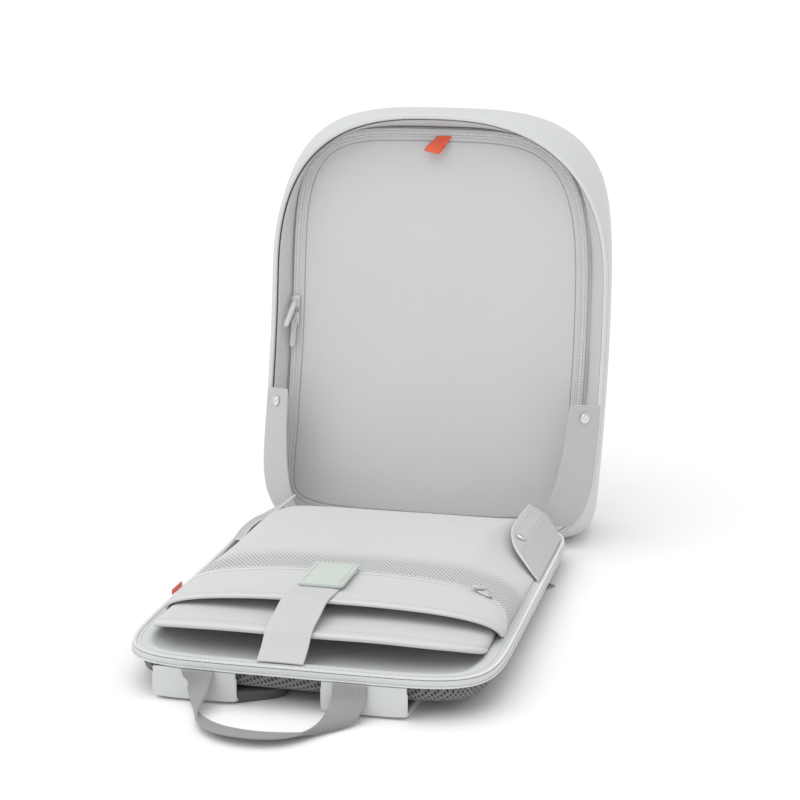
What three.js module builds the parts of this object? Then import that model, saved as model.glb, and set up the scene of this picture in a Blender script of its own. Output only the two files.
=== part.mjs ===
// A slim anti-theft backpack, unzipped all round and laid open on the floor.
// The back half lies on its shoulder straps with its pockets facing up, and the
// moulded front shell stands on its own base behind it, leaning back a little.
// Millimetres, +X to the right, +Y away from the pockets' mouths, +Z up.
import * as THREE from "three";

// Clearances
const gap = 0.4; // between pieces that are sewn or laid together
const looseGap = 1.2; // between a loose flap and what it lies over

// Back half: its rim plane rises from the hinge towards the carry handle
const backWidth = 296;
const backLength = 411;
const hingeHeight = 23;
const backTilt = 1.4;
const bandDepth = 6;
const lipWidth = 20;
const lipHeight = 1.2;
const floorDepth = 4;
const toothedTapeWidth = 3.6;
const toothedTapeHeight = 1.4;

// Padding under the back half
const padDepth = 15.6;
const padInset = 6;

// Front shell, standing on its base
const shellWidth = 323;
const shellRimHeight = 402;
const shellBodyHeight = 416.5;
const shellDepth = 100;
const shellLean = 11.7;
const shellWall = 3;
const hingeGap = 12.7;
const shellShift = 1.5;
const shellBodyShift = 3;
const shellSwayMiddle = 6.5;
const shellSwayTop = 7;
const rimTapeWidth = 4.5;
const rimTapeDepth = 5.4;

// Zipped divider inside the shell
const dividerSide = 25.5;
const dividerDrop = 19;
const dividerShift = -3.5;
const dividerWidth = shellWidth - dividerSide * 2;
const dividerTop = shellRimHeight - dividerDrop;
const dividerDepth = 22;
const dividerThickness = 2;
const dividerCrown = 5;
const dividerZipWidth = 7;
const collarThickness = 1.8;
const zipCrest = 0.8;

// Pockets on the back half, seen from the hinge towards their mouths
const sleeveWidth = 264;
const sleeveHeight = 18;
const sleeveThickness = 4;
const sleeveStart = 24;
const sleeveMouth = 379;
const sleeveMouthSide = 336;
const pocketWidth = 278;
const pocketHeight = 31;
const pocketThickness = 2.4;
const pocketStart = 8;
const pocketMouth = 338;
const pocketMouthSide = 302;
const pocketZip = 264;
const pocketZipDrop = 38;
const pocketZipWidth = 7;
const pocketRunIn = 140;
const pocketCornerCut = 14;
const pocketFlatShare = 0.75;

// Closing strap over the pockets
const closingStrapWidth = 36;
const closingStrapThickness = 1.5;
const closingStrapFrom = 403;
const closingStrapTo = 262;
const closingStrapNearX = -15;
const closingStrapFarX = -7;
const closingStrapTurn = 5;
const closingTabLength = 57;
const closingTabWidth = 37;
const closingTabThickness = 3;

// Shoulder straps and carry handle
const strapWidth = 66;
const strapLength = 250;
const strapTop = 6;
const leftStrapX = -81;
const rightStrapX = 52;
const strapEndX = 98;
const webbingWidth = 25;
const webbingThickness = 1.6;
const handleWidth = 25;
const handleThickness = 2.4;
const handleReach = 50;
const handleLeftX = -77;
const handleRightX = 42;

// Small trim
const snapDiameter = 10;
const snapThickness = 1.8;
const flapLength = 113;
const flapWidth = 32;
const flapFoot = 24;
const flapThickness = 1.6;
const flapTurn = 40;
const sliderLength = 12;
const sliderWidth = 8;
const sliderThickness = 3;
const pullLength = 28;
const pullWidth = 5.5;
const pullThickness = 1.8;
const pocketPullWidth = 8;
const pocketPullLength = 16;
const loopWidth = 14;
const loopDrop = 15;
const loopThickness = 1.2;
const loopX = 6;
const loopSlant = 0.6;
const labelLength = 22;
const labelRise = 4.6;
const labelThickness = 1.2;
const labelPlace = 0.61;
const hingePanelThickness = 1.6;

// How finely curves are cut
const lowSteps = 8;
const sideSteps = 3;
const topSteps = 10;
const archSteps = 20;

const radians = THREE.MathUtils.degToRad;
const clamp = THREE.MathUtils.clamp;
const mix = THREE.MathUtils.lerp;

const paint = (color, roughness, metalness = 0) =>
  new THREE.MeshStandardMaterial({ color, roughness, metalness });
const palette = {
  shell: paint(0xdfe3e2, 0.7),
  lining: paint(0xd2d3d5, 0.75),
  padding: paint(0x6e6f73, 0.95),
  webbing: paint(0x97989a, 0.9),
  zip: paint(0xc4c6c7, 0.6),
  metal: paint(0xb9bbbc, 0.35, 0.9),
  tab: paint(0xcdd6cd, 0.6),
  red: paint(0xf0512f, 0.8),
};

// A quarter of a rounded outline from (half, 0) to (0, rise). Its points lie
// closer together where it turns, and a higher power makes a squarer corner.
function quarter(half, rise, power, steps) {
  const fine = 240;
  const dense = [];
  for (let i = 0; i <= fine; i++) {
    const angle = ((i / fine) * Math.PI) / 2;
    const across = Math.max(Math.cos(angle), 0) ** (2 / power);
    const along = Math.sin(angle) ** (2 / power);
    dense.push(new THREE.Vector2(half * across, rise * along));
  }
  const moves = dense.slice(1).map((point, i) => point.clone().sub(dense[i]));
  const total = moves.reduce((sum, move) => sum + move.length(), 0);
  const measure = [0];
  moves.forEach((move, i) => {
    const turn = i === 0 ? 0 : Math.abs(move.angle() - moves[i - 1].angle());
    measure.push(measure[i] + move.length() / total + turn / (Math.PI / 2));
  });
  const points = [];
  for (let step = 0; step <= steps; step++) {
    const wanted = (measure[fine] * step) / steps;
    const i = clamp(measure.findIndex((value) => value >= wanted), 1, fine);
    const share = (wanted - measure[i - 1]) / (measure[i] - measure[i - 1] || 1);
    points.push(dense[i - 1].clone().lerp(dense[i], clamp(share, 0, 1)));
  }
  return points;
}

// A closed outline, symmetrical about x = 0, from its bottom centre up the right.
function outline({ half, bottom, low, high, top, lowPower, topPower }) {
  const corner = quarter(half, low - bottom, lowPower, lowSteps).reverse();
  const right = corner.map(({ x, y }) => new THREE.Vector2(x, low - y));
  for (let i = 1; i < sideSteps; i++)
    right.push(new THREE.Vector2(half, mix(low, high, i / sideSteps)));
  const crown = quarter(half, top - high, topPower, topSteps);
  right.push(...crown.map(({ x, y }) => new THREE.Vector2(x, high + y)));
  const left = right.slice(1, -1).reverse();
  return [...right, ...left.map(({ x, y }) => new THREE.Vector2(-x, y))];
}

// The same outline moved in by a distance, or out by a negative one.
function inset(points, distance) {
  return points.map((point, i) => {
    const before = points[(i + points.length - 1) % points.length];
    const after = points[(i + 1) % points.length];
    const first = point.clone().sub(before).normalize();
    const second = after.clone().sub(point).normalize();
    const normal = new THREE.Vector2(-first.y - second.y, first.x + second.x);
    normal.normalize();
    const stretch = 1 / Math.max(-first.y * normal.x + first.x * normal.y, 0.5);
    return point.clone().addScaledVector(normal, distance * stretch);
  });
}

const centreOf = (ring) =>
  ring
    .reduce((sum, point) => sum.add(point), new THREE.Vector3())
    .divideScalar(ring.length);

// A geometry from triangles, turned so that its faces point out.
function outward(triangles) {
  const volume = triangles.reduce(
    (sum, [a, b, c]) => sum + a.dot(b.clone().cross(c)),
    0,
  );
  const facing = volume < 0 ? triangles.map(([a, b, c]) => [a, c, b]) : triangles;
  const geometry = new THREE.BufferGeometry().setFromPoints(facing.flat());
  geometry.computeVertexNormals();
  return geometry;
}

// A skin through rings of equally many points, with its two ends closed by fans,
// or, as a loop, with its last ring joined to its first.
function loft(rings, loop = false) {
  const triangles = [];
  const count = rings[0].length;
  const pairs = loop ? rings.length : rings.length - 1;
  for (let i = 0; i < pairs; i++) {
    const one = rings[i];
    const two = rings[(i + 1) % rings.length];
    for (let j = 0; j < count; j++) {
      const k = (j + 1) % count;
      triangles.push([one[j], one[k], two[k]], [one[j], two[k], two[j]]);
    }
  }
  if (!loop) {
    const [first, last] = [rings[0], rings[rings.length - 1]];
    const [start, end] = [centreOf(first), centreOf(last)];
    for (let j = 0; j < count; j++) {
      const k = (j + 1) % count;
      triangles.push([start, first[k], first[j]], [end, last[j], last[k]]);
    }
  }
  return outward(triangles);
}

// A sheet between two grids of points, each a list of rows.
function sheet(front, back) {
  const rows = front.length;
  const columns = front[0].length;
  const border = (grid) => [
    ...grid[0].slice(0, -1),
    ...grid.slice(0, -1).map((row) => row[columns - 1]),
    ...grid[rows - 1].slice(1).reverse(),
    ...grid.slice(1).map((row) => row[0]).reverse(),
  ];
  const triangles = [];
  for (let i = 0; i < rows - 1; i++)
    for (let j = 0; j < columns - 1; j++)
      for (const [grid, flip] of [[front, false], [back, true]]) {
        const [a, b] = [grid[i][j], grid[i][j + 1]];
        const [c, d] = [grid[i + 1][j + 1], grid[i + 1][j]];
        if (flip) triangles.push([a, c, b], [a, d, c]);
        else triangles.push([a, b, c], [a, c, d]);
      }
  const [edge, far] = [border(front), border(back)];
  edge.forEach((point, i) => {
    const k = (i + 1) % edge.length;
    triangles.push([point, far[i], far[k]], [point, far[k], edge[k]]);
  });
  return outward(triangles);
}

// A sheet of even thickness on both sides of one grid of points.
function thicken(grid, thickness) {
  const at = (i, j) => grid[clamp(i, 0, grid.length - 1)][clamp(j, 0, grid[0].length - 1)];
  const moved = (side) =>
    grid.map((row, i) =>
      row.map((point, j) => {
        const along = at(i + 1, j).clone().sub(at(i - 1, j));
        const across = at(i, j + 1).clone().sub(at(i, j - 1));
        const normal = along.cross(across).normalize();
        return point.clone().addScaledVector(normal, (side * thickness) / 2);
      }),
    );
  return sheet(moved(1), moved(-1));
}

// A flat strap along a path: each station has a point and a direction across.
function ribbon(stations, width, thickness) {
  return thicken(
    stations.map(({ point, across }) =>
      [-1, 0, 1].map((side) => point.clone().addScaledVector(across, (side * width) / 2)),
    ),
    thickness,
  );
}

// A thin plate with round corners, lying in XY about its own middle.
function plate(width, length, corner, thickness) {
  const shape = new THREE.Shape();
  const [x, y] = [width / 2 - corner, length / 2 - corner];
  shape.absarc(x, y, corner, 0, Math.PI / 2);
  shape.absarc(-x, y, corner, Math.PI / 2, Math.PI);
  shape.absarc(-x, -y, corner, Math.PI, Math.PI * 1.5);
  shape.absarc(x, -y, corner, Math.PI * 1.5, Math.PI * 2);
  const options = { depth: thickness, bevelEnabled: false, curveSegments: 4 };
  return new THREE.ExtrudeGeometry(shape, options);
}

// A snap: a domed cap on a flat rim, standing on z = 0.
function snapCap() {
  const radius = snapDiameter / 2;
  const profile = [
    [0, 0],
    [radius, 0],
    [radius, snapThickness * 0.45],
    [radius * 0.72, snapThickness * 0.6],
    [radius * 0.6, snapThickness],
    [0, snapThickness * 0.8],
  ].map(([x, y]) => new THREE.Vector2(x, y));
  return new THREE.LatheGeometry(profile, 16).rotateX(Math.PI / 2);
}

function addMesh(group, name, geometry, material) {
  const mesh = new THREE.Mesh(geometry, material);
  mesh.name = name;
  group.add(mesh);
  return mesh;
}

const backpack = new THREE.Group();
const backHalf = new THREE.Group();
backHalf.position.z = hingeHeight;
backHalf.rotation.x = -radians(backTilt);
const shell = new THREE.Group();
shell.position.set(shellShift, hingeGap, 0);
shell.rotation.x = -radians(shellLean);
backpack.add(backHalf, shell);
backpack.updateMatrixWorld(true);

// Back half: x across, s from the hinge towards the handle, r above the rim plane
const onBack = (x, s, r) => new THREE.Vector3(x, -s, r);
const backInWorld = (x, s, r) => onBack(x, s, r).applyMatrix4(backHalf.matrixWorld);
const backHalfWidth = backWidth / 2;
const backOutline = outline({
  half: backHalfWidth,
  bottom: 0,
  low: backHalfWidth,
  high: backLength - backHalfWidth,
  top: backLength,
  lowPower: 9.6,
  topPower: 6,
});
const backRing = (distance, r) =>
  inset(backOutline, distance).map(({ x, y }) => onBack(x, y, r));

function backPanel() {
  const tape = toothedTapeWidth + gap;
  return loft([
    backRing(bandDepth * 0.6, -bandDepth),
    backRing(bandDepth * 0.1, -bandDepth * 0.85),
    backRing(0, -bandDepth * 0.55),
    backRing(0, -bandDepth * 0.1),
    backRing(bandDepth * 0.07, 0),
    backRing(tape + lipWidth * 0.04, 0),
    backRing(tape + lipWidth * 0.14, lipHeight * 0.8),
    backRing(tape + lipWidth * 0.35, lipHeight),
    backRing(tape + lipWidth * 0.6, lipHeight * 0.6),
    backRing(tape + lipWidth * 0.85, -floorDepth * 0.75),
    backRing(tape + lipWidth, -floorDepth),
  ]);
}

function backZipTape() {
  const [outer, inner] = [gap * 2, toothedTapeWidth];
  return loft(
    [
      backRing(outer, gap),
      backRing(inner, gap),
      backRing(inner, gap + toothedTapeHeight * 0.7),
      backRing((outer + inner) / 2, gap + toothedTapeHeight),
      backRing(outer, gap + toothedTapeHeight * 0.7),
    ],
    true,
  );
}

const padTop = -bandDepth - gap;
const padBottom = padTop - padDepth;
function meshPad() {
  return loft([
    backRing(padInset, padTop),
    backRing(padInset, padTop - padDepth * 0.6),
    backRing(padInset + padDepth * 0.15, padTop - padDepth * 0.87),
    backRing(padInset + padDepth * 0.5, padBottom),
  ]);
}

// Pockets: arches over the lip. Near the hinge they are flat on top and slope
// down to both sides, and towards their mouths the sides are rounded.
const archBase = lipHeight + gap;
const ease = (share) => 1 - (1 - clamp(share, 0, 1)) ** 3;
const fullness = (s) =>
  THREE.MathUtils.smoothstep(s, backLength * 0.3, backLength * 0.62);
const sidePower = (form, across) => (across > 0 ? form.rightPower : form.leftPower);
const sleeve = {
  half: sleeveWidth / 2,
  height: sleeveHeight,
  start: sleeveStart,
  thickness: sleeveThickness,
  leftPower: 4,
  rightPower: 3.2,
};
const pocket = {
  half: pocketWidth / 2,
  height: pocketHeight,
  start: pocketStart,
  thickness: pocketThickness,
  leftPower: 2.4,
  rightPower: 3,
};
// Heights over the arch: least is where the far end is sewn down.
const archHeight = (form, s) =>
  mix(form.thickness * 1.4, form.height, ease((s - form.start) / pocketRunIn));
const archTurn = (column) => Math.PI * (1 - column / archSteps);
const archShare = (form, column) => {
  const turn = archTurn(column);
  return Math.max(Math.sin(turn), 0) ** (2 / sidePower(form, Math.cos(turn)));
};
const archHalf = (form, s) =>
  form.half - pocketCornerCut * (1 - ease((s - form.start) / pocketRunIn));
function archPoint(form, column, s, sunk) {
  const across = Math.cos(archTurn(column));
  const reach = Math.abs(across) ** (2 / sidePower(form, across));
  const sloped = clamp((1 - reach) / (1 - pocketFlatShare), 0, 1);
  const rise = mix(sloped, archShare(form, column), fullness(s));
  return onBack(
    (archHalf(form, s) - sunk) * Math.sign(across) * reach,
    s,
    archBase + (archHeight(form, s) - sunk) * rise,
  );
}
// An arched sheet from one edge to another, each a function of the column.
function archSheet(form, from, to, rows) {
  const surface = (sunk) =>
    Array.from({ length: rows + 1 }, (_, i) =>
      Array.from({ length: archSteps + 1 }, (_, column) =>
        archPoint(form, column, mix(from(column), to(column), i / rows), sunk),
      ),
    );
  return sheet(surface(0), surface(form.thickness));
}
const zipLine = (column) => {
  const drop = column > archSteps / 2 ? pocketZipDrop : -pocketZipDrop / 3;
  return pocketZip + drop * (1 - archShare(pocket, column));
};
const pocketMouthLine = (column) =>
  mix(pocketMouthSide, pocketMouth, archShare(pocket, column) ** 0.8);
const sleeveMouthLine = (column) =>
  mix(sleeveMouthSide, sleeveMouth, archShare(sleeve, column) ** 0.8);
const pocketTop = (s) => archBase + archHeight(pocket, s);
const sleeveTop = (s) => archBase + archHeight(sleeve, s);
const zipHalf = pocketZipWidth / 2;

addMesh(backHalf, "back_panel", backPanel(), palette.shell);
addMesh(backHalf, "back_zip_tape", backZipTape(), palette.zip);
addMesh(backHalf, "air_mesh_pad", meshPad(), palette.padding);
addMesh(
  backHalf,
  "laptop_sleeve",
  archSheet(sleeve, () => sleeveStart, sleeveMouthLine, 9),
  palette.lining,
);
addMesh(
  backHalf,
  "mesh_pocket",
  archSheet(pocket, () => pocketStart, (c) => zipLine(c) - zipHalf - gap, 8),
  palette.lining,
);
addMesh(
  backHalf,
  "pocket_zip_tape",
  archSheet(pocket, (c) => zipLine(c) - zipHalf, (c) => zipLine(c) + zipHalf, 1),
  palette.zip,
);
addMesh(
  backHalf,
  "tablet_pocket",
  archSheet(pocket, (c) => zipLine(c) + zipHalf + gap, pocketMouthLine, 3),
  palette.lining,
);

// Closing strap: from the near rim over the sleeve's edge onto the pocket
function closingStrap() {
  const half = closingStrapThickness / 2 + gap;
  const route = [
    [closingStrapFrom, archBase + half],
    [mix(sleeveMouth, closingStrapFrom, 0.55), sleeveTop(sleeveMouth) * 0.55],
    [sleeveMouth + closingStrapTurn * 0.6, sleeveTop(sleeveMouth) + half],
    [mix(pocketMouth, sleeveMouth, 0.6), mix(pocketTop(pocketMouth), sleeveTop(sleeveMouth), 0.4)],
    [pocketMouth + closingStrapTurn, pocketTop(pocketMouth) + half],
    [pocketMouth - closingStrapTurn * 2.4, pocketTop(pocketMouth) + half],
    [mix(closingStrapTo, pocketMouth, 0.4), pocketTop(closingStrapTo) + half],
    [closingStrapTo, pocketTop(closingStrapTo) + half],
  ];
  const across = new THREE.Vector3(1, 0, 0);
  return ribbon(
    route.map(([s, r]) => {
      const share = (s - closingStrapTo) / (closingStrapFrom - closingStrapTo);
      return { point: onBack(mix(closingStrapFarX, closingStrapNearX, share), s, r), across };
    }),
    closingStrapWidth,
    closingStrapThickness,
  );
}
addMesh(backHalf, "closing_strap", closingStrap(), palette.webbing);
const closingTab = addMesh(
  backHalf,
  "closing_tab",
  plate(closingTabWidth, closingTabLength, closingTabWidth * 0.12, closingTabThickness),
  palette.tab,
);
closingTab.position.copy(
  onBack(
    closingStrapFarX,
    closingStrapTo + closingTabLength / 2 - closingStrapThickness * 2,
    pocketTop(pocketMouth) + closingStrapThickness + gap * 2,
  ),
);

// A slider is a low block, and its pull hangs or lies from the block's middle.
const slider = (group, name) =>
  addMesh(
    group,
    name,
    plate(sliderWidth, sliderLength, sliderWidth * 0.3, sliderThickness),
    palette.metal,
  );
const pull = (group, name, width, length) =>
  addMesh(group, name, plate(width, length, width * 0.3, pullThickness), palette.metal);
const sliderColumn = archSteps * 0.79;
const sliderPoint = archPoint(pocket, sliderColumn, zipLine(sliderColumn), 0);
const sliderSide = archPoint(pocket, sliderColumn + 1, zipLine(sliderColumn), 0);
const pocketSlider = new THREE.Group();
pocketSlider.rotation.y = Math.atan2(
  sliderPoint.z - sliderSide.z,
  sliderSide.x - sliderPoint.x,
);
pocketSlider.position.copy(sliderPoint);
backHalf.add(pocketSlider);
slider(pocketSlider, "pocket_slider").position.z = gap;
pull(pocketSlider, "pocket_pull", pocketPullWidth, pocketPullLength).position.set(
  -pocketPullWidth * 0.6,
  -pocketPullLength * 0.35,
  sliderThickness + gap * 2,
);

// Red side label, sewn upright to the left rim
const label = addMesh(
  backHalf,
  "side_label",
  new THREE.BoxGeometry(labelThickness, labelLength, labelRise),
  palette.red,
);
label.position.copy(
  onBack(-backHalfWidth - labelThickness / 2 - gap, backLength * labelPlace, labelRise * 0.45),
);

// Side wings near the hinge: sewn to the lip, with a fold and a free flap.
// Rows: distance from the hinge, then the fold's and the free edge's place across
// and height, as shares of the back half's length, half width and pocket height.
const wingRows = {
  right: [
    { s: 0.075, fold: [0.875, 0.66], free: [0.768, 0.95] },
    { s: 0.18, fold: [0.861, 0.74], free: [0.746, 0.92] },
    { s: 0.28, fold: [0.855, 0.66], free: [0.757, 0.84] },
    { s: 0.335, fold: [0.852, 0.52], free: [0.805, 0.68] },
    { s: 0.385, fold: [0.93, 0.2], free: [0.915, 0.3] },
  ],
  left: [
    { s: 0.075, fold: [0.842, 0.35], free: [0.732, 0.77] },
    { s: 0.18, fold: [0.849, 0.51], free: [0.804, 0.51] },
    { s: 0.28, fold: [0.854, 0.67], free: [0.809, 0.67] },
    { s: 0.335, fold: [0.858, 0.66], free: [0.813, 0.66] },
    { s: 0.385, fold: [0.858, 0.55], free: [0.813, 0.55] },
  ],
};
const wingFootX = backHalfWidth - toothedTapeWidth - gap * 4;
const wingFootRise = lipHeight + gap + flapThickness / 2;
function backWing(side, rows) {
  const grid = rows.map(({ s, fold, free }) => [
    onBack(side * wingFootX, s * backLength, wingFootRise),
    ...[fold, free].map(([x, r]) =>
      onBack(side * x * backHalfWidth, s * backLength, r * pocketHeight + wingFootRise),
    ),
  ]);
  return thicken(grid, flapThickness);
}
addMesh(backHalf, "back_wing_right", backWing(1, wingRows.right), palette.lining);
addMesh(backHalf, "back_wing_left", backWing(-1, wingRows.left), palette.lining);

// Front shell: x across, depth behind the rim, up along the leaning face
const leanTangent = Math.tan(radians(shellLean));
const floorUp = (depth) => depth * leanTangent;
const sway = (up) => {
  const share = clamp(up / shellRimHeight, 0, 1.05);
  return shellSwayMiddle * Math.sin(Math.PI * share) - shellSwayTop * share ** 6;
};
const inShell = (x, depth, up) => new THREE.Vector3(x + sway(up), depth, up);
const shellHalf = shellWidth / 2;
// Sections from the arched rim to the squarer front, as shares of the rim's
// half width, the shell's depth and the gain in height.
const shellSections = [
  { depth: 0, half: 1, gain: 0, topPower: 2.55, lowPower: 4.8 },
  { depth: 0.1, half: 1, gain: 0.3, topPower: 2.7, lowPower: 6 },
  { depth: 0.3, half: 0.988, gain: 0.62, topPower: 3, lowPower: 9 },
  { depth: 0.6, half: 0.957, gain: 0.86, topPower: 3.2, lowPower: 10 },
  { depth: 0.84, half: 0.935, gain: 1, topPower: 3.3, lowPower: 10 },
];
function shellOutline({ depth, half, gain, topPower, lowPower }, start = 0) {
  const at = start + depth * (shellDepth - start);
  const points = outline({
    half: half * shellHalf,
    bottom: floorUp(at),
    low: mix(0.333, 0.26, gain) * shellRimHeight + floorUp(at) * 0.5,
    high: mix(0.597, 0.69, gain) * shellRimHeight,
    top: mix(shellRimHeight, shellBodyHeight, gain),
    lowPower,
    topPower,
  });
  points.forEach((point) => point.setX(point.x + shellBodyShift * gain ** 2));
  return { at, points };
}
const shellRing = (points, distance, depth) =>
  inset(points, distance).map(({ x, y }) =>
    inShell(x, depth, Math.max(y, floorUp(depth))),
  );
const rimEnd = rimTapeDepth / 2;
const rimOutline = shellOutline(shellSections[0]).points;

function frontShell() {
  const sections = shellSections.map((row) => shellOutline(row, rimEnd + gap));
  const outer = sections.map(({ at, points }) => shellRing(points, 0, at));
  const inner = sections.map(({ at, points }) => shellRing(points, shellWall, at));
  const { points } = sections[sections.length - 1];
  const front = [
    shellRing(points, shellDepth * 0.03, shellDepth * 0.92),
    shellRing(points, shellDepth * 0.09, shellDepth * 0.975),
    shellRing(points, shellDepth * 0.2, shellDepth),
  ];
  const back = [
    shellRing(points, shellDepth * 0.03 + shellWall, shellDepth * 0.92 - shellWall * 0.5),
    shellRing(points, shellDepth * 0.09 + shellWall, shellDepth * 0.975 - shellWall),
    shellRing(points, shellDepth * 0.2 + shellWall, shellDepth - shellWall),
  ];
  return loft([...front.reverse(), ...outer.reverse(), ...inner, ...back]);
}

function shellZipTape() {
  return loft(
    [
      shellRing(rimOutline, rimTapeWidth * 0.12, -rimEnd * 0.7),
      shellRing(rimOutline, rimTapeWidth * 0.5, -rimEnd),
      shellRing(rimOutline, rimTapeWidth * 0.9, -rimEnd * 0.7),
      shellRing(rimOutline, rimTapeWidth, rimEnd),
      shellRing(rimOutline, 0, rimEnd),
    ],
    true,
  );
}

// Divider: a zipped panel in the mouth of the shell, framed by a sloping collar
const dividerOutline = outline({
  half: dividerWidth / 2,
  bottom: floorUp(dividerDepth) + shellWall * 5,
  low: shellRimHeight * 0.18,
  high: shellRimHeight * 0.5,
  top: dividerTop,
  lowPower: 5,
  topPower: 4.4,
});
const inDivider = (x, depth, up) => inShell(x + dividerShift, depth, up);
const collarEdge = dividerZipWidth + gap * 2;
function collar() {
  const outer = (distance, depth) =>
    inset(rimOutline, rimTapeWidth + gap * 2 + distance).map(({ x, y }) => [x, depth, y]);
  const inner = (distance, depth) =>
    inset(dividerOutline, -collarEdge - distance).map(({ x, y }) => [x + dividerShift, depth, y]);
  const start = rimEnd + gap;
  const blend = (one, two, share) =>
    one.map((point, i) => {
      const [x, depth, up] = point.map((value, axis) => mix(value, two[i][axis], share));
      return inShell(x, depth, Math.max(up, floorUp(depth) + shellWall + gap));
    });
  const spread = collarThickness * 0.6;
  const [front, frontEnd] = [outer(0, start), inner(0, dividerDepth)];
  const [back, backEnd] = [
    outer(-spread, start + collarThickness),
    inner(spread, dividerDepth + collarThickness),
  ];
  return loft(
    [
      blend(front, frontEnd, 0),
      blend(front, frontEnd, 0.5),
      blend(front, frontEnd, 1),
      blend(back, backEnd, 1),
      blend(back, backEnd, 0.5),
      blend(back, backEnd, 0),
    ],
    true,
  );
}
function dividerPanel() {
  const rows = [0, 0.12, 0.35, 0.62, 0.85];
  const centre = new THREE.Vector2(0, mix(dividerTop, 0, 0.48));
  const ring = (share, back) =>
    dividerOutline.map((point) => {
      const { x, y } = point.clone().lerp(centre, share);
      const crown = dividerCrown * (1 - (1 - share) ** 2);
      return inDivider(x, dividerDepth - crown + back, y);
    });
  const front = rows.map((share) => ring(share, 0));
  const back = rows.map((share) => ring(share, dividerThickness));
  return loft([...front.reverse(), ...back]);
}
// The divider's zip runs from one lower corner over the top to the other.
function dividerZip() {
  const from = Math.round(lowSteps * 0.6);
  const pick = (ring) => ring.slice(from, ring.length - from + 1);
  const edge = (distance, depth) =>
    pick(inset(dividerOutline, -distance)).map(({ x, y }) => inDivider(x, depth, y));
  const top = dividerDepth - gap;
  return sheet(
    [edge(gap, top), edge(dividerZipWidth / 2, top - zipCrest), edge(dividerZipWidth, top)],
    [
      edge(gap, top + dividerThickness),
      edge(dividerZipWidth / 2, top + dividerThickness),
      edge(dividerZipWidth, top + dividerThickness),
    ],
  );
}
addMesh(shell, "front_shell", frontShell(), palette.shell);
addMesh(shell, "shell_zip_tape", shellZipTape(), palette.zip);
addMesh(shell, "shell_collar", collar(), palette.lining);
addMesh(shell, "divider_panel", dividerPanel(), palette.lining);
addMesh(shell, "divider_zip", dividerZip(), palette.zip);

// Sliders and pulls on the divider zip's left side. The upper pull swings aside
// and leans out over the lower slider.
const zipX = -(dividerWidth + dividerZipWidth) / 2;
const sliderBack = dividerDepth - gap - zipCrest - looseGap / 2;
const dividerSliders = [
  { end: "upper", up: 0.548, swing: 12, lean: 24 },
  { end: "lower", up: 0.508, swing: 2, lean: 2 },
];
dividerSliders.forEach(({ end, up, swing, lean }) => {
  const place = new THREE.Group();
  place.position.copy(inDivider(zipX, sliderBack, up * shellRimHeight));
  shell.add(place);
  slider(place, `divider_slider_${end}`).rotation.x = Math.PI / 2;
  const hanging = new THREE.Group();
  hanging.position.set(0, -sliderThickness - gap, 0);
  hanging.rotation.set(-radians(lean), radians(swing), 0);
  place.add(hanging);
  const mesh = pull(hanging, `divider_pull_${end}`, pullWidth, pullLength);
  mesh.rotation.x = Math.PI / 2;
  mesh.position.z = -pullLength / 2;
});

// Red loop sewn over the top of the divider's zip, standing out to the front
function pullLoop() {
  const top = dividerTop + dividerZipWidth;
  const near = dividerDepth - gap - zipCrest - gap - loopThickness / 2;
  const rows = [
    [near, top],
    [near, top - dividerZipWidth * 0.55],
    [near - loopDrop * 0.3, top - loopDrop * 0.7],
    [near - loopDrop * 0.52, top - loopDrop],
  ];
  const across = new THREE.Vector3(1, 0, 0);
  const stations = rows.map(([depth, up]) => ({
    point: inShell(loopX - (top - up) * loopSlant, depth, up),
    across,
  }));
  return ribbon(stations, loopWidth, loopThickness);
}
addMesh(shell, "red_pull_loop", pullLoop(), palette.red);

// Shell flaps: each is sewn along the rim and its free edge turns to the front
function rimHalfAt(up) {
  const right = rimOutline.slice(0, rimOutline.length / 2);
  const i = clamp(right.findIndex(({ y }) => y > up), 1, right.length - 1);
  const share = (up - right[i - 1].y) / (right[i].y - right[i - 1].y);
  return mix(right[i - 1].x, right[i].x, clamp(share, 0, 1));
}
const flapPoint = (side, share, up, proud) => {
  const turn = radians(flapTurn);
  const reach = share * flapWidth;
  return inShell(
    side * (rimHalfAt(up) - rimTapeWidth / 2 - reach * Math.cos(turn) + proud * Math.sin(turn)),
    -rimEnd - gap - flapThickness / 2 - reach * Math.sin(turn) - proud * Math.cos(turn),
    up,
  );
};
const flapRows = [
  { along: 0, wide: 1.2 },
  { along: 0.18, wide: 1.25 },
  { along: 0.4, wide: 1.17 },
  { along: 0.7, wide: 1.05 },
  { along: 0.95, wide: 1 },
  { along: 1, wide: 0.99 },
];
const shellFlap = (side) =>
  thicken(
    flapRows.map(({ along, wide }) => {
      const up = flapFoot + along * flapLength;
      return [0, wide / 2, wide].map((across) => flapPoint(side, across, up, 0));
    }),
    flapThickness,
  );
for (const [side, word] of [[1, "right"], [-1, "left"]]) {
  addMesh(shell, `shell_flap_${word}`, shellFlap(side), palette.lining);
  const snap = addMesh(shell, `shell_snap_${word}`, snapCap(), palette.metal);
  const proud = flapThickness / 2 + gap;
  snap.position.copy(flapPoint(side, 0.5, flapFoot + flapLength * 0.9, proud));
  snap.rotation.set(Math.PI / 2, side * radians(flapTurn), 0);
}

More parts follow.
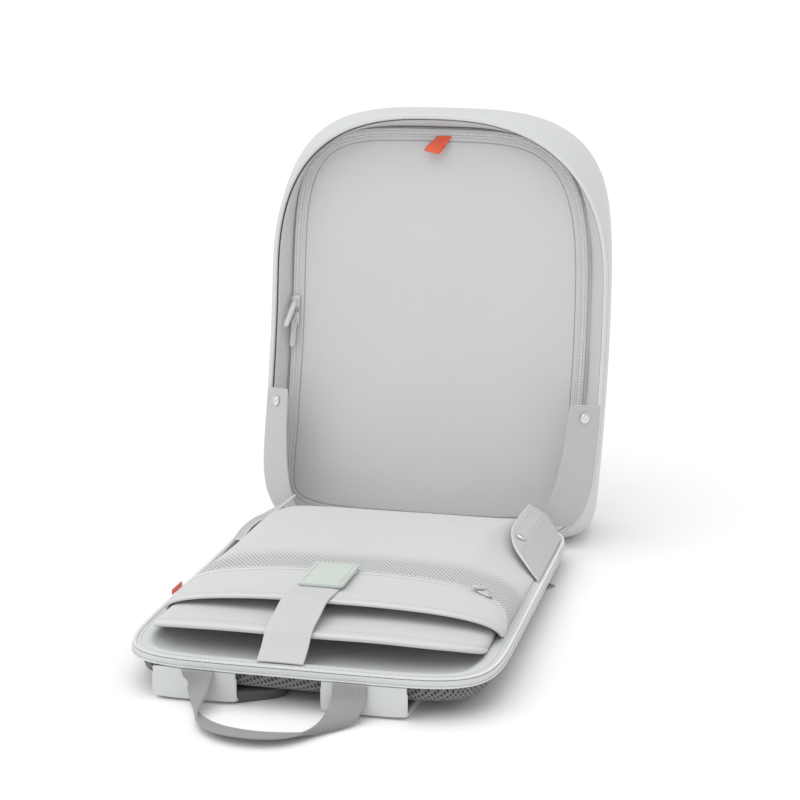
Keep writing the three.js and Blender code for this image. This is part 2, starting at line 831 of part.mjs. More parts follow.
// Snap on the outer face of the right back wing's free flap
const wingPoint = (row, edge) => {
  const { s, [edge]: place } = wingRows.right[row];
  const [x, r] = place;
  return onBack(x * backHalfWidth, s * backLength, r * pocketHeight + wingFootRise);
};
const wingSnapRow = 2;
const wingMiddle = wingPoint(wingSnapRow, "fold").lerp(wingPoint(wingSnapRow, "free"), 0.5);
const wingAcross = wingPoint(wingSnapRow, "free").sub(wingPoint(wingSnapRow, "fold"));
const wingAlong = wingPoint(wingSnapRow + 1, "free").sub(wingPoint(wingSnapRow - 1, "free"));
const wingNormal = wingAcross.cross(wingAlong).normalize();
const wingSnap = addMesh(backHalf, "wing_snap_right", snapCap(), palette.metal);
wingSnap.position.copy(wingMiddle).addScaledVector(wingNormal, flapThickness / 2 + gap);
wingSnap.quaternion.setFromUnitVectors(new THREE.Vector3(0, 0, 1), wingNormal);

// Hinge panel: a soft trough of cloth between the two halves
function hingePanel() {
  const thickness = hingePanelThickness;
  const start = gap + thickness / 2;
  const end = hingeGap - rimEnd * 0.96;
  const rows = [
    [start, hingeHeight - bandDepth * 0.35],
    [start, hingeHeight * 0.45],
    [mix(start, end, 0.25), hingeHeight * 0.16],
    [mix(start, end, 0.6), thickness],
    [end, thickness],
  ];
  const half = backHalfWidth * 0.86;
  const grid = rows.map(([y, z]) =>
    [-1, 0, 1].map((side) => new THREE.Vector3(side * half, y, z)),
  );
  return thicken(grid, thickness);
}
addMesh(backpack, "hinge_panel", hingePanel(), palette.lining);

// Shoulder straps: each drops from the near seam and runs back under the pad
const padUnderside = (s) => backInWorld(0, s, padBottom).z;
const strapFront = backLength - padInset + gap + strapTop;
const strapInner = backLength - padInset + gap;
function strapRows(x) {
  const top = backInWorld(0, strapFront, padTop).z;
  const under = padUnderside(strapInner) - gap;
  const bend = strapTop;
  const run = [0, 0.12, 0.35, 0.65, 1];
  const splay = (share) => mix(x, Math.sign(x) * strapEndX, share ** 1.5);
  const drop = [
    { x, outer: [strapFront, top], inner: [strapInner, top] },
    { x, outer: [strapFront, mix(top, bend, 0.5)], inner: [strapInner, mix(top, under, 0.5)] },
  ];
  const corner = [0, 1, 2, 3, 4].map((step) => {
    const angle = ((step / 4) * Math.PI) / 2;
    const out = [
      strapFront - bend + bend * Math.cos(angle),
      bend - bend * Math.sin(angle),
    ];
    const into = [strapInner - step * 0.4, mix(under + 1, under, step / 4)];
    return { x, outer: out, inner: into };
  });
  const floor = run.slice(1).map((share) => {
    const s = strapFront - bend - share * strapLength;
    return { x: splay(share), outer: [s, 0], inner: [s, padUnderside(s) - gap] };
  });
  return [...drop, ...corner, ...floor];
}
// A layer of the strap, between two shares of its thickness
function strapLayer(x, from, to) {
  const level = (row, share, side) => {
    const s = mix(row.outer[0], row.inner[0], share);
    const z = mix(row.outer[1], row.inner[1], share);
    return new THREE.Vector3(row.x + (side * strapWidth) / 2, -s, z);
  };
  const sides = [-1, -0.86, 0, 0.86, 1];
  const grid = (share) =>
    strapRows(x).map((row) =>
      sides.map((side) => {
        const lift = Math.abs(side) === 1 ? mix(share, 0.5, 0.25) : share;
        return level(row, row.outer[1] === 0 ? share : lift, side);
      }),
    );
  return sheet(grid(from), grid(to));
}
// Webbing from each strap's end to the lower corner of the back half
function strapWebbing(x) {
  const side = Math.sign(x);
  const start = strapFront - strapTop - strapLength - gap * 2;
  const [xStart, xEnd] = [side * strapEndX, side * (backHalfWidth - webbingWidth * 0.45)];
  const stations = [0, 0.3, 0.65, 1].map((share) => ({
    point: new THREE.Vector3(
      mix(xStart, xEnd, share ** 1.3),
      -mix(start, backLength * 0.2, share),
      webbingThickness / 2,
    ),
    across: new THREE.Vector3(1, -side * share * 0.7, 0).normalize(),
  }));
  return ribbon(stations, webbingWidth, webbingThickness);
}
for (const [x, word] of [[leftStrapX, "left"], [rightStrapX, "right"]]) {
  addMesh(backpack, `strap_cover_${word}`, strapLayer(x, 0, 0.58), palette.shell);
  addMesh(backpack, `strap_mesh_${word}`, strapLayer(x, 0.62, 1), palette.padding);
  addMesh(backpack, `strap_webbing_${word}`, strapWebbing(x), palette.webbing);
}

// Carry handle: a webbing loop that drops to the floor in front of the rim
function carryHandle() {
  const start = strapFront + gap + handleThickness / 2;
  const top = backInWorld(0, start, padTop).z;
  const middle = (handleLeftX + handleRightX) / 2;
  const half = (handleRightX - handleLeftX) / 2;
  const low = handleThickness / 2 + gap / 2;
  // Rows: place across, reach in front, height, as shares, and the webbing's turn
  const rows = [
    { across: 1, reach: 0, rise: 1, turn: 0 },
    { across: 0.995, reach: 0.05, rise: 0.55, turn: 4 },
    { across: 0.95, reach: 0.3, rise: 0.2, turn: 18 },
    { across: 0.82, reach: 0.6, rise: 0.05, turn: 40 },
    { across: 0.55, reach: 0.86, rise: 0, turn: 65 },
    { across: 0.2, reach: 0.99, rise: 0, turn: 85 },
  ];
  const station = (side, { across, reach, rise, turn }) => {
    const angle = radians(turn);
    return {
      point: new THREE.Vector3(
        middle + side * across * half,
        -start - reach * handleReach,
        mix(low, top, rise),
      ),
      across: new THREE.Vector3(Math.cos(angle), side * Math.sin(angle), 0),
    };
  };
  const left = rows.map((row) => station(-1, row));
  const right = rows.map((row) => station(1, row)).reverse();
  right.forEach(({ across }) => across.negate());
  return ribbon([...left, ...right], handleWidth, handleThickness);
}
addMesh(backpack, "carry_handle", carryHandle(), palette.webbing);

// The origin is the middle of the base: the floor under the open backpack
backpack.updateMatrixWorld(true);
const box = new THREE.Box3().setFromObject(backpack, true);
const middle = box.getCenter(new THREE.Vector3());
backpack.position.set(-middle.x, -middle.y, -box.min.z);
backpack.updateMatrixWorld(true);

export default backpack;
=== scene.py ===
"""Looks of a slim backpack that lies unzipped and open on the floor.

Sizes are in millimetres, in the frame of the half that a piece belongs to, and
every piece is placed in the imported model's frame in metres.
"""

from __future__ import annotations

import logging
import math
from dataclasses import dataclass, field
from enum import Enum
from typing import Any, Callable, Sequence

import bmesh
import bpy
import numpy as np
from mathutils import Matrix, Vector

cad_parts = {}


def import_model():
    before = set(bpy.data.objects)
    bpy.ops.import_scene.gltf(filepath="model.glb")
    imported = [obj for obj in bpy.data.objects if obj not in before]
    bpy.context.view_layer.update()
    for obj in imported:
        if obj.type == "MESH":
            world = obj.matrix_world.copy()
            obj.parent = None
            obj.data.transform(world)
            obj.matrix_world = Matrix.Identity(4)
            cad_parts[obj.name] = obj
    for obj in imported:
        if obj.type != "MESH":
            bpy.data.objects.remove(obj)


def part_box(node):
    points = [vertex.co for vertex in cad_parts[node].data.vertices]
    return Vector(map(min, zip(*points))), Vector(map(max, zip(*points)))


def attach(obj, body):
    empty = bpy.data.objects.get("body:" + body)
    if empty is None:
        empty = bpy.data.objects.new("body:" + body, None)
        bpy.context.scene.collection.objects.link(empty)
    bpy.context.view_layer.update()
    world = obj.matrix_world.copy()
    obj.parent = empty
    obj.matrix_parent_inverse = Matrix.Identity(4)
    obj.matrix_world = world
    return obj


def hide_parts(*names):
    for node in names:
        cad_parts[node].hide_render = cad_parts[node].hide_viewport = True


LOG = logging.getLogger("backpack")
MM = 0.001
GAP = 0.4
UV_NAME = "Cloth"
LOW_STEPS = 28
ZIP_START = int(LOW_STEPS * 0.6)
SHARP_ANGLE = math.radians(42)
WELD = 2e-6
SNAP_RADIUS = 5.0
Array = np.ndarray
Colour = tuple[float, float, float]


class Value:
    """A socket in a material's graph that takes part in ordinary arithmetic."""

    def __init__(self, graph: "Graph", socket: bpy.types.NodeSocket) -> None:
        """Keeps the socket and the graph that it belongs to."""
        self.graph = graph
        self.socket = socket

    def _math(self, operation: str, *values: Any) -> "Value":
        """One Math node on these values."""
        return self.graph.node(
            "ShaderNodeMath", {"operation": operation}, dict(enumerate(values))
        )

    def __add__(self, other: Any) -> "Value":
        """self + other."""
        return self._math("ADD", self, other)

    def __radd__(self, other: Any) -> "Value":
        """other + self."""
        return self._math("ADD", other, self)

    def __sub__(self, other: Any) -> "Value":
        """self - other."""
        return self._math("SUBTRACT", self, other)

    def __rsub__(self, other: Any) -> "Value":
        """other - self."""
        return self._math("SUBTRACT", other, self)

    def __mul__(self, other: Any) -> "Value":
        """self * other."""
        return self._math("MULTIPLY", self, other)

    def __rmul__(self, other: Any) -> "Value":
        """other * self."""
        return self._math("MULTIPLY", other, self)

    def __truediv__(self, other: Any) -> "Value":
        """self / other."""
        return self._math("DIVIDE", self, other)

    def sine(self) -> "Value":
        """The sine of an angle in radians."""
        return self._math("SINE", self)

    def fraction(self) -> "Value":
        """What is left over the next lower whole number."""
        return self._math("FRACT", self)

    def root(self) -> "Value":
        """The square root."""
        return self._math("SQRT", self)

    def least(self, other: Any) -> "Value":
        """The smaller of two values."""
        return self._math("MINIMUM", self, other)

    def step(self, low: Any, high: Any) -> "Value":
        """A smooth step from 0 at low to 1 at high."""
        return self.graph.node(
            "ShaderNodeMapRange",
            {"interpolation_type": "SMOOTHSTEP"},
            {"Value": self, "From Min": low, "From Max": high},
        )


class Graph:
    """The node graph of one material, with its shader."""

    def __init__(self, name: str) -> None:
        """Starts a material with an empty Principled shader."""
        self.material = bpy.data.materials.new(name)
        self.material.use_nodes = True
        self.tree = self.material.node_tree
        self.tree.nodes.clear()
        self.shader = self.tree.nodes.new("ShaderNodeBsdfPrincipled")
        output = self.tree.nodes.new("ShaderNodeOutputMaterial")
        self.tree.links.new(self.shader.outputs["BSDF"], output.inputs["Surface"])

    def node(
        self,
        kind: str,
        settings: dict[str, Any] | None = None,
        inputs: dict[Any, Any] | None = None,
        output: Any = 0,
    ) -> Value:
        """Adds one node.

        Args:
            kind: the node's type.
            settings: the node's own settings, set before its sockets.
            inputs: values or links, by socket name or number.
            output: which output to return.

        Returns:
            The output, as a value.
        """
        made = self.tree.nodes.new(kind)
        for key, value in (settings or {}).items():
            setattr(made, key, value)
        for key, value in (inputs or {}).items():
            self.feed(made.inputs[key], value)
        return Value(self, made.outputs[output])

    def feed(self, socket: bpy.types.NodeSocket, value: Any) -> None:
        """Links a value to a socket, or sets a plain number or colour on it."""
        if isinstance(value, Value):
            self.tree.links.new(value.socket, socket)
        else:
            socket.default_value = value

    def set(self, **sockets: Any) -> None:
        """Feeds the shader's sockets, named in words joined by underscores."""
        for name, value in sockets.items():
            self.feed(self.shader.inputs[name.replace("_", " ")], value)

    def cloth_place(self) -> tuple[Value, Value]:
        """Millimetres across and along the cloth."""
        uv = self.node("ShaderNodeUVMap", {"uv_map": UV_NAME})
        return self.split(uv, 1 / MM)[:2]

    def space(self) -> Value:
        """The place in the model's frame, in metres."""
        return self.node("ShaderNodeTexCoord", output="Object")

    def split(self, vector: Value, scale: float) -> tuple[Value, Value, Value]:
        """The three numbers of a vector, scaled.

        Args:
            vector: the vector.
            scale: what to multiply it by.

        Returns:
            Its x, y and z.
        """
        scaled = self.node(
            "ShaderNodeVectorMath", {"operation": "SCALE"}, {0: vector, "Scale": scale}
        )
        parts = self.tree.nodes.new("ShaderNodeSeparateXYZ")
        self.feed(parts.inputs[0], scaled)
        return tuple(Value(self, socket) for socket in parts.outputs)

    def noise(self, scale: float, detail: float = 3.0) -> Value:
        """Soft noise from 0 to 1 with this many features a metre."""
        return self.node(
            "ShaderNodeTexNoise",
            {"noise_dimensions": "3D"},
            {"Vector": self.space(), "Scale": scale, "Detail": detail},
        )

    def mix(self, share: Value, one: Any, two: Any) -> Value:
        """A colour between two."""
        return self.node(
            "ShaderNodeMix", {"data_type": "RGBA"}, {0: share, 6: one, 7: two}, output=2
        )

    def dots(self, u: Value, v: Value, pitch: tuple[float, float], radius: Any) -> Value:
        """Staggered round dots.

        Args:
            u: millimetres across.
            v: millimetres along.
            pitch: the spacing across and along.
            radius: the radius of a dot.

        Returns:
            0 inside a dot and 1 outside.
        """

        def reach(shift: float) -> Value:
            """The distance to the nearest dot of one of the two lattices."""
            a = ((u / pitch[0] + shift).fraction() - 0.5) * pitch[0]
            b = ((v / pitch[1] + shift).fraction() - 0.5) * pitch[1]
            return (a * a + b * b).root()

        nearest = reach(0.0).least(reach(0.5))
        return nearest.step(radius * 0.7, radius * 1.25)

    def relief(self, height: Value, depth: float) -> Value:
        """A bump of this depth in millimetres."""
        return self.node(
            "ShaderNodeBump", None, {"Strength": 1.0, "Distance": depth * MM, "Height": height}, "Normal"
        )


def rgba(colour: Colour, factor: float = 1.0) -> tuple[float, float, float, float]:
    """A colour with full alpha, made lighter or darker."""
    return (*(min(part * factor, 1.0) for part in colour), 1.0)


class Threads(Enum):
    """How a cloth is woven."""

    PLAIN = "plain"
    TWILL = "twill"
    RIBBED = "ribbed"


@dataclass(frozen=True)
class Holes:
    """Rows of small holes in a cloth, fading out along it."""

    pitch: tuple[float, float]
    radius: float
    start: float = -1.0e4
    full: float = -0.9e4
    shade: float = 0.55


@dataclass(frozen=True)
class Finish:
    """What every finish has: a name, the record's slot and a colour."""

    name: str
    slot: str
    colour: Colour
    roughness: float = 0.75

    def material(self) -> bpy.types.Material:
        """The finish's material, made once."""
        known = bpy.data.materials.get(self.name)
        if known is not None:
            return known
        graph = Graph(self.name)
        self.paint(graph)
        return graph.material

    def paint(self, graph: Graph) -> None:
        """Builds the nodes: each kind of finish has its own."""
        raise NotImplementedError


@dataclass(frozen=True)
class Cloth(Finish):
    """Woven cloth with soft mottling, loose fibres and, where it has them, holes."""

    threads: Threads = Threads.PLAIN
    thread: float = 0.8
    depth: float = 0.05
    mottle: float = 0.05
    sheen: float = 0.12
    # how much painted shade darkens the hollows between the threads
    groove_shade: float = 0.15
    holes: Holes | None = None
    woven_in_space: bool = False

    def weave(self, u: Value, v: Value) -> Value:
        """The height of the threads, from 0 to 1.

        Args:
            u: millimetres across.
            v: millimetres along.

        Returns:
            The height.
        """
        wave = 2 * math.pi / self.thread
        if self.threads is Threads.TWILL:
            return ((u + v) * wave).sine() * 0.4 + ((u - v) * (wave * 0.5)).sine() * 0.1 + 0.5
        if self.threads is Threads.RIBBED:
            return (v * wave).sine() * 0.4 + (u * (wave * 0.5)).sine() * 0.1 + 0.5
        return (u * wave).sine() * (v * wave).sine() * 0.5 + 0.5

    def paint(self, graph: Graph) -> None:
        """Threads as relief, with uneven colour and roughness, and painted shade in the hollows between the
        threads.
        """
        if self.woven_in_space:
            x, y, z = graph.split(graph.space(), 1 / MM)
            u, v = x + y, z + (x - y) * 0.5
        else:
            u, v = graph.cloth_place()
        height = self.weave(u, v)
        cloud = graph.noise(9.0)
        fibre = graph.noise(700.0, 2.0)
        # The weave's height feeds the colour: painted shade, darker where the threads lie low.
        share = cloud * (0.75 - self.groove_shade) + fibre * 0.25 + height * self.groove_shade
        colour = graph.mix(
            share, rgba(self.colour, 1 - self.mottle), rgba(self.colour, 1 + self.mottle)
        )
        relief = height + fibre * 0.5
        if self.holes is not None:
            shown = v.step(self.holes.start, self.holes.full) * self.holes.radius + 0.001
            open_cloth = graph.dots(u, v, self.holes.pitch, shown)
            colour = graph.mix(open_cloth, rgba(self.colour, self.holes.shade), colour)
            relief = relief + open_cloth * 4.0
        graph.set(
            Base_Color=colour,
            Roughness=self.roughness + (fibre - 0.5) * 0.15,
            Normal=graph.relief(relief, self.depth),
            Sheen_Weight=self.sheen,
            Sheen_Roughness=0.5,
        )


@dataclass(frozen=True)
class Moulded(Finish):
    """Moulded plastic or painted metal, a little uneven and scuffed."""

    metallic: float = 0.0
    grain: float = 0.02
    coat: float = 0.0

    def paint(self, graph: Graph) -> None:
        """A fine grain with faint scuffs."""
        fine = graph.noise(1400.0, 2.0)
        scuff = graph.noise(120.0, 4.0).step(0.45, 0.75)
        graph.set(
            Base_Color=graph.mix(scuff, rgba(self.colour), rgba(self.colour, 0.965)),
            Roughness=self.roughness + scuff * 0.12 + (fine - 0.5) * 0.06,
            Normal=graph.relief(fine, self.grain),
            Metallic=self.metallic,
            Coat_Weight=self.coat,
        )


SHELL_CLOTH = Cloth("shell_cloth", "shell", (0.645, 0.665, 0.66), 0.62, thread=0.7, depth=0.03)
LINING = Cloth("lining_cloth", "lining", (0.64, 0.642, 0.65), 0.72, thread=0.6, depth=0.03)
DIVIDER = Cloth("divider_cloth", "lining", (0.64, 0.642, 0.645), 0.6, thread=0.6, depth=0.02)
POCKET = Cloth(
    "pocket_cloth",
    "lining",
    (0.64, 0.642, 0.65),
    0.72,
    thread=0.6,
    depth=0.03,
    holes=Holes(pitch=(3.6, 5.6), radius=1.15, start=196.0, full=236.0, shade=0.42),
)
FLAP = Cloth("flap_cloth", "lining", (0.53, 0.532, 0.538), 0.7, thread=0.6, depth=0.03)
GUSSET = Cloth("gusset_cloth", "lining", (0.66, 0.662, 0.665), 0.72, thread=0.6, depth=0.03)
BINDING = Cloth("edge_binding", "lining", (0.68, 0.69, 0.69), 0.66, Threads.RIBBED, 0.9, 0.05)
TAPE = Cloth("zip_tape", "zip", (0.74, 0.745, 0.745), 0.7, Threads.RIBBED, 0.8, 0.06)
COIL = Moulded("zip_coil", "zip", (0.86, 0.865, 0.865), 0.4)
THREAD = Cloth("seam_thread", "zip", (0.62, 0.63, 0.63), 0.6, Threads.TWILL, 0.5, 0.04)
WEBBING = Cloth(
    "strap_webbing",
    "webbing",
    (0.335, 0.338, 0.343),
    0.8,
    Threads.TWILL,
    thread=2.2,
    depth=0.3,
    mottle=0.4,
    # strong painted shade between the twill's ribs
    groove_shade=0.6,
)
ELASTIC = Cloth("closing_elastic", "webbing", (0.60, 0.602, 0.61), 0.8, Threads.RIBBED, 1.1, 0.07)
SPACER = Cloth(
    "spacer_mesh",
    "padding",
    (0.24, 0.242, 0.25),
    0.9,
    thread=0.9,
    depth=0.18,
    mottle=0.12,
    holes=Holes(pitch=(5.6, 5.0), radius=1.15, shade=0.2),
    woven_in_space=True,
)
# Near black; on the left strap it also makes the dark tongue that stands in for the shadow under the strap.
STRAP_MESH = Cloth(
    "strap_mesh_cloth", "padding", (0.11, 0.112, 0.12), 0.9, thread=1.2, depth=0.2, mottle=0.15
)
TAB = Moulded("tab_rubber", "tab", (0.60, 0.665, 0.61), 0.55, grain=0.05)
RED = Cloth("red_ribbon", "red", (0.86, 0.115, 0.045), 0.55, Threads.RIBBED, 0.9, 0.06, sheen=0.3)
SLIDER_METAL = Moulded("slider_metal", "metal", (0.62, 0.63, 0.635), 0.34, metallic=0.25)
SNAP_METAL = Moulded("snap_metal", "metal", (0.74, 0.75, 0.75), 0.22, metallic=0.8, coat=0.2)


def unit(vectors: Array) -> Array:
    """Vectors of length 1, or 0 where a vector has no length."""
    return vectors / np.maximum(np.linalg.norm(vectors, axis=-1, keepdims=True), 1e-12)


def blend(one: Any, two: Any, share: Any) -> Any:
    """A value between two."""
    return one + (two - one) * share


def ease(share: Array | float) -> Array:
    """Rises fast from 0 and settles at 1."""
    return 1 - (1 - np.clip(share, 0, 1)) ** 3


def smooth(values: Array | float, low: float, high: float) -> Array:
    """A smooth step from 0 at low to 1 at high."""
    share = np.clip((np.asarray(values) - low) / (high - low), 0, 1)
    return share * share * (3 - 2 * share)


def ripple(x: Array, y: Array, size: float, seed: int) -> Array:
    """Soft uneven waves about this long, from -1 to 1.

    Args:
        x: places across, in millimetres.
        y: places along, in millimetres.
        size: the usual length of a wave, in millimetres.
        seed: sets the waves.

    Returns:
        The height at each place.
    """
    rng = np.random.default_rng(seed)
    total = np.zeros(np.broadcast(x, y).shape)
    waves = 6
    for _ in range(waves):
        angle, phase = rng.uniform(0, math.pi), rng.uniform(0, 2 * math.pi)
        wave = 2 * math.pi / (size * rng.uniform(0.6, 1.6))
        total = total + np.sin((x * math.cos(angle) + y * math.sin(angle)) * wave + phase)
    return total / waves


def lengths(points: Array) -> Array:
    """The length along a row of points, from 0."""
    steps = np.linalg.norm(np.diff(points, axis=0), axis=-1)
    return np.concatenate([[0.0], np.cumsum(steps)])


def refine(rows: Array, count: int) -> Array:
    """Rows on smooth curves through the given rows.

    Args:
        rows: the given rows, each a point or a row of points.
        count: how many rows to return.

    Returns:
        The rows, evenly spread along the curves.
    """
    rows = np.asarray(rows, float)
    flat = rows.reshape(len(rows), -1)
    at = lengths(flat)
    slopes = np.gradient(flat, at, axis=0)
    wanted = np.linspace(0, at[-1], count)
    i = np.clip(np.searchsorted(at, wanted) - 1, 0, len(rows) - 2)
    span = (at[i + 1] - at[i])[:, None]
    t = (wanted[:, None] - at[i][:, None]) / span
    made = (
        flat[i] * (2 * t**3 - 3 * t**2 + 1)
        + slopes[i] * span * (t**3 - 2 * t**2 + t)
        + flat[i + 1] * (3 * t**2 - 2 * t**3)
        + slopes[i + 1] * span * (t**3 - t**2)
    )
    return made.reshape(count, *rows.shape[1:])


@dataclass(frozen=True)
class Outline:
    """A closed outline, symmetrical about x = 0, with rounded corners."""

    half: float
    bottom: float
    low: float
    high: float
    top: float
    low_power: float
    top_power: float
    low_steps: int = LOW_STEPS
    side_steps: int = 14
    top_steps: int = 40

    @staticmethod
    def quarter(half: float, rise: float, power: float, steps: int) -> Array:
        """A quarter of the outline, from (half, 0) to (0, rise).

        Args:
            half: its width.
            rise: its height.
            power: how square its corner is.
            steps: how many steps to cut it into.

        Returns:
            The points, closer together where the outline turns.
        """
        angle = np.linspace(0, math.pi / 2, 1200)
        dense = np.stack(
            [
                half * np.maximum(np.cos(angle), 0) ** (2 / power),
                rise * np.sin(angle) ** (2 / power),
            ],
            -1,
        )
        moves = np.diff(dense, axis=0)
        length = np.linalg.norm(moves, axis=1)
        heading = np.unwrap(np.arctan2(moves[:, 1], moves[:, 0]))
        turn = np.abs(np.diff(heading, prepend=heading[0]))
        measure = np.concatenate(
            [[0], np.cumsum(length / length.sum() + turn / (math.pi / 2))]
        )
        wanted = np.linspace(0, measure[-1], steps + 1)
        return np.stack([np.interp(wanted, measure, dense[:, k]) for k in (0, 1)], -1)

    def points(self) -> Array:
        """The outline from its bottom centre up the right side and round."""
        low = self.quarter(self.half, self.low - self.bottom, self.low_power, self.low_steps)
        corner = low[::-1] * [1, -1] + [0, self.low]
        heights = np.linspace(self.low, self.high, self.side_steps + 1)[1:-1]
        side = np.stack([np.full(len(heights), self.half), heights], -1)
        top = self.quarter(self.half, self.top - self.high, self.top_power, self.top_steps)
        crown = top + [0, self.high]
        right = np.concatenate([corner, side, crown])
        return np.concatenate([right, right[-2:0:-1] * [-1, 1]])


def inset(points: Array, distance: float) -> Array:
    """The outline moved in by a distance, with no loops at its tight corners.

    Args:
        points: the closed outline.
        distance: how far in to move it, or out if negative.

    Returns:
        The moved points, as many as before.
    """
    before, after = np.roll(points, 1, axis=0), np.roll(points, -1, axis=0)
    normal = unit(unit(points - before) + unit(after - points))
    normal = np.stack([-normal[:, 1], normal[:, 0]], -1)
    moved = points + normal * distance
    for _ in range(12):
        forward = np.roll(points, -1, axis=0) - points
        step = np.roll(moved, -1, axis=0) - moved
        turned = (forward * step).sum(1) < 0
        if not turned.any():
            break
        near = turned | np.roll(turned, 1)
        average = (np.roll(moved, 1, axis=0) + np.roll(moved, -1, axis=0)) / 2
        moved[near] = average[near]
    return moved


class Half(Enum):
    """What a piece belongs to, which sets the frame of its sizes."""

    BACK = "back"
    SHELL = "shell"
    FLOOR = "floor"


@dataclass
class Stance:
    """How the two halves lie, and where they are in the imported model's frame."""

    hinge_height: float = 23.0
    back_tilt: float = 1.4
    shell_lean: float = 11.7
    hinge_gap: float = 12.7
    shell_shift: float = 1.5
    sway_middle: float = 6.5
    sway_top: float = 7.0
    rim_height: float = 402.0
    shift: Array = field(default_factory=lambda: np.zeros(3))

    def settle(self) -> None:
        """Reads the shift into the model's frame from the back panel's box."""
        low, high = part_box("back_panel")
        self.shift = np.array([(low.x + high.x) / 2, high.y, 0.0]) / MM

    def floor_up(self, depth: Array | float) -> Any:
        """The floor's height up the shell at a depth."""
        return depth * math.tan(math.radians(self.shell_lean))

    def sway(self, up: Array) -> Array:
        """How far the shell leans to one side at a height."""
        share = np.clip(up / self.rim_height, 0, 1.05)
        return self.sway_middle * np.sin(math.pi * share) - self.sway_top * share**6

    def turn(self, half: Half, vectors: Array) -> Array:
        """Directions of a half's frame in the model's frame.

        Args:
            half: the half.
            vectors: the directions in its frame.

        Returns:
            The turned directions.
        """
        v = np.asarray(vectors, float)
        x, y, z = v[..., 0], v[..., 1], v[..., 2]
        angle = {Half.BACK: self.back_tilt, Half.SHELL: self.shell_lean, Half.FLOOR: 0.0}[half]
        c, s = math.cos(math.radians(angle)), math.sin(math.radians(angle))
        if half is Half.BACK:
            y = -y
        return np.stack([x, y * c + z * s, -y * s + z * c], -1)

    def place(self, half: Half, points: Array, swaying: bool = True) -> Array:
        """Places points of a half in the model's frame.

        Args:
            half: the half that the points belong to. On the back they are across,
                from the hinge and above the rim, on the shell across, behind the
                rim and up, and on the floor across, along and up.
            points: the points, in millimetres.
            swaying: whether points of the shell follow its lean to the side.

        Returns:
            The points in metres.
        """
        p = np.array(points, float)
        if half is Half.SHELL and swaying:
            p[..., 0] += self.sway(p[..., 2])
        start = {
            Half.BACK: (0.0, 0.0, self.hinge_height),
            Half.SHELL: (self.shell_shift, self.hinge_gap, 0.0),
            Half.FLOOR: (0.0, 0.0, 0.0),
        }[half]
        return (self.turn(half, p) + start + self.shift) * MM


STANCE = Stance()


def facing(half: Half, way: tuple[float, float, float], count: int) -> Array:
    """A direction of a half's frame in the model's frame, repeated."""
    return np.repeat(STANCE.turn(half, np.array(way))[None], count, 0)


def normals_of(points: Array) -> Array:
    """The directions out of a grid of points."""
    along = np.gradient(points, axis=0)
    across = np.gradient(points, axis=1)
    return unit(np.cross(across, along))


@dataclass(frozen=True)
class Bead:
    """A small rounded bar, such as a stitch or a zip's tooth."""

    length: float
    width: float
    height: float
    sides: int = 6
    rings: int = 4

    def mesh(self) -> tuple[Array, list[list[int]]]:
        """Its points in metres, lengthwise along x, and its faces."""
        along = np.linspace(-1, 1, self.rings)
        size = np.sqrt(1 - np.clip(np.abs(along) - 0.05, 0, 0.9) ** 2)
        angle = np.arange(self.sides) * 2 * math.pi / self.sides
        grid = np.stack(
            [
                np.repeat(along[:, None] * self.length / 2, self.sides, 1),
                size[:, None] * np.cos(angle) * self.width / 2,
                size[:, None] * np.sin(angle) * self.height / 2,
            ],
            -1,
        )
        faces = [list(range(self.sides))[::-1]]
        faces.append([(self.rings - 1) * self.sides + k for k in range(self.sides)])
        for i in range(self.rings - 1):
            for k in range(self.sides):
                n = (k + 1) % self.sides
                row = i * self.sides
                faces.append([row + k, row + n, row + self.sides + n, row + self.sides + k])
        return grid.reshape(-1, 3) * MM, faces


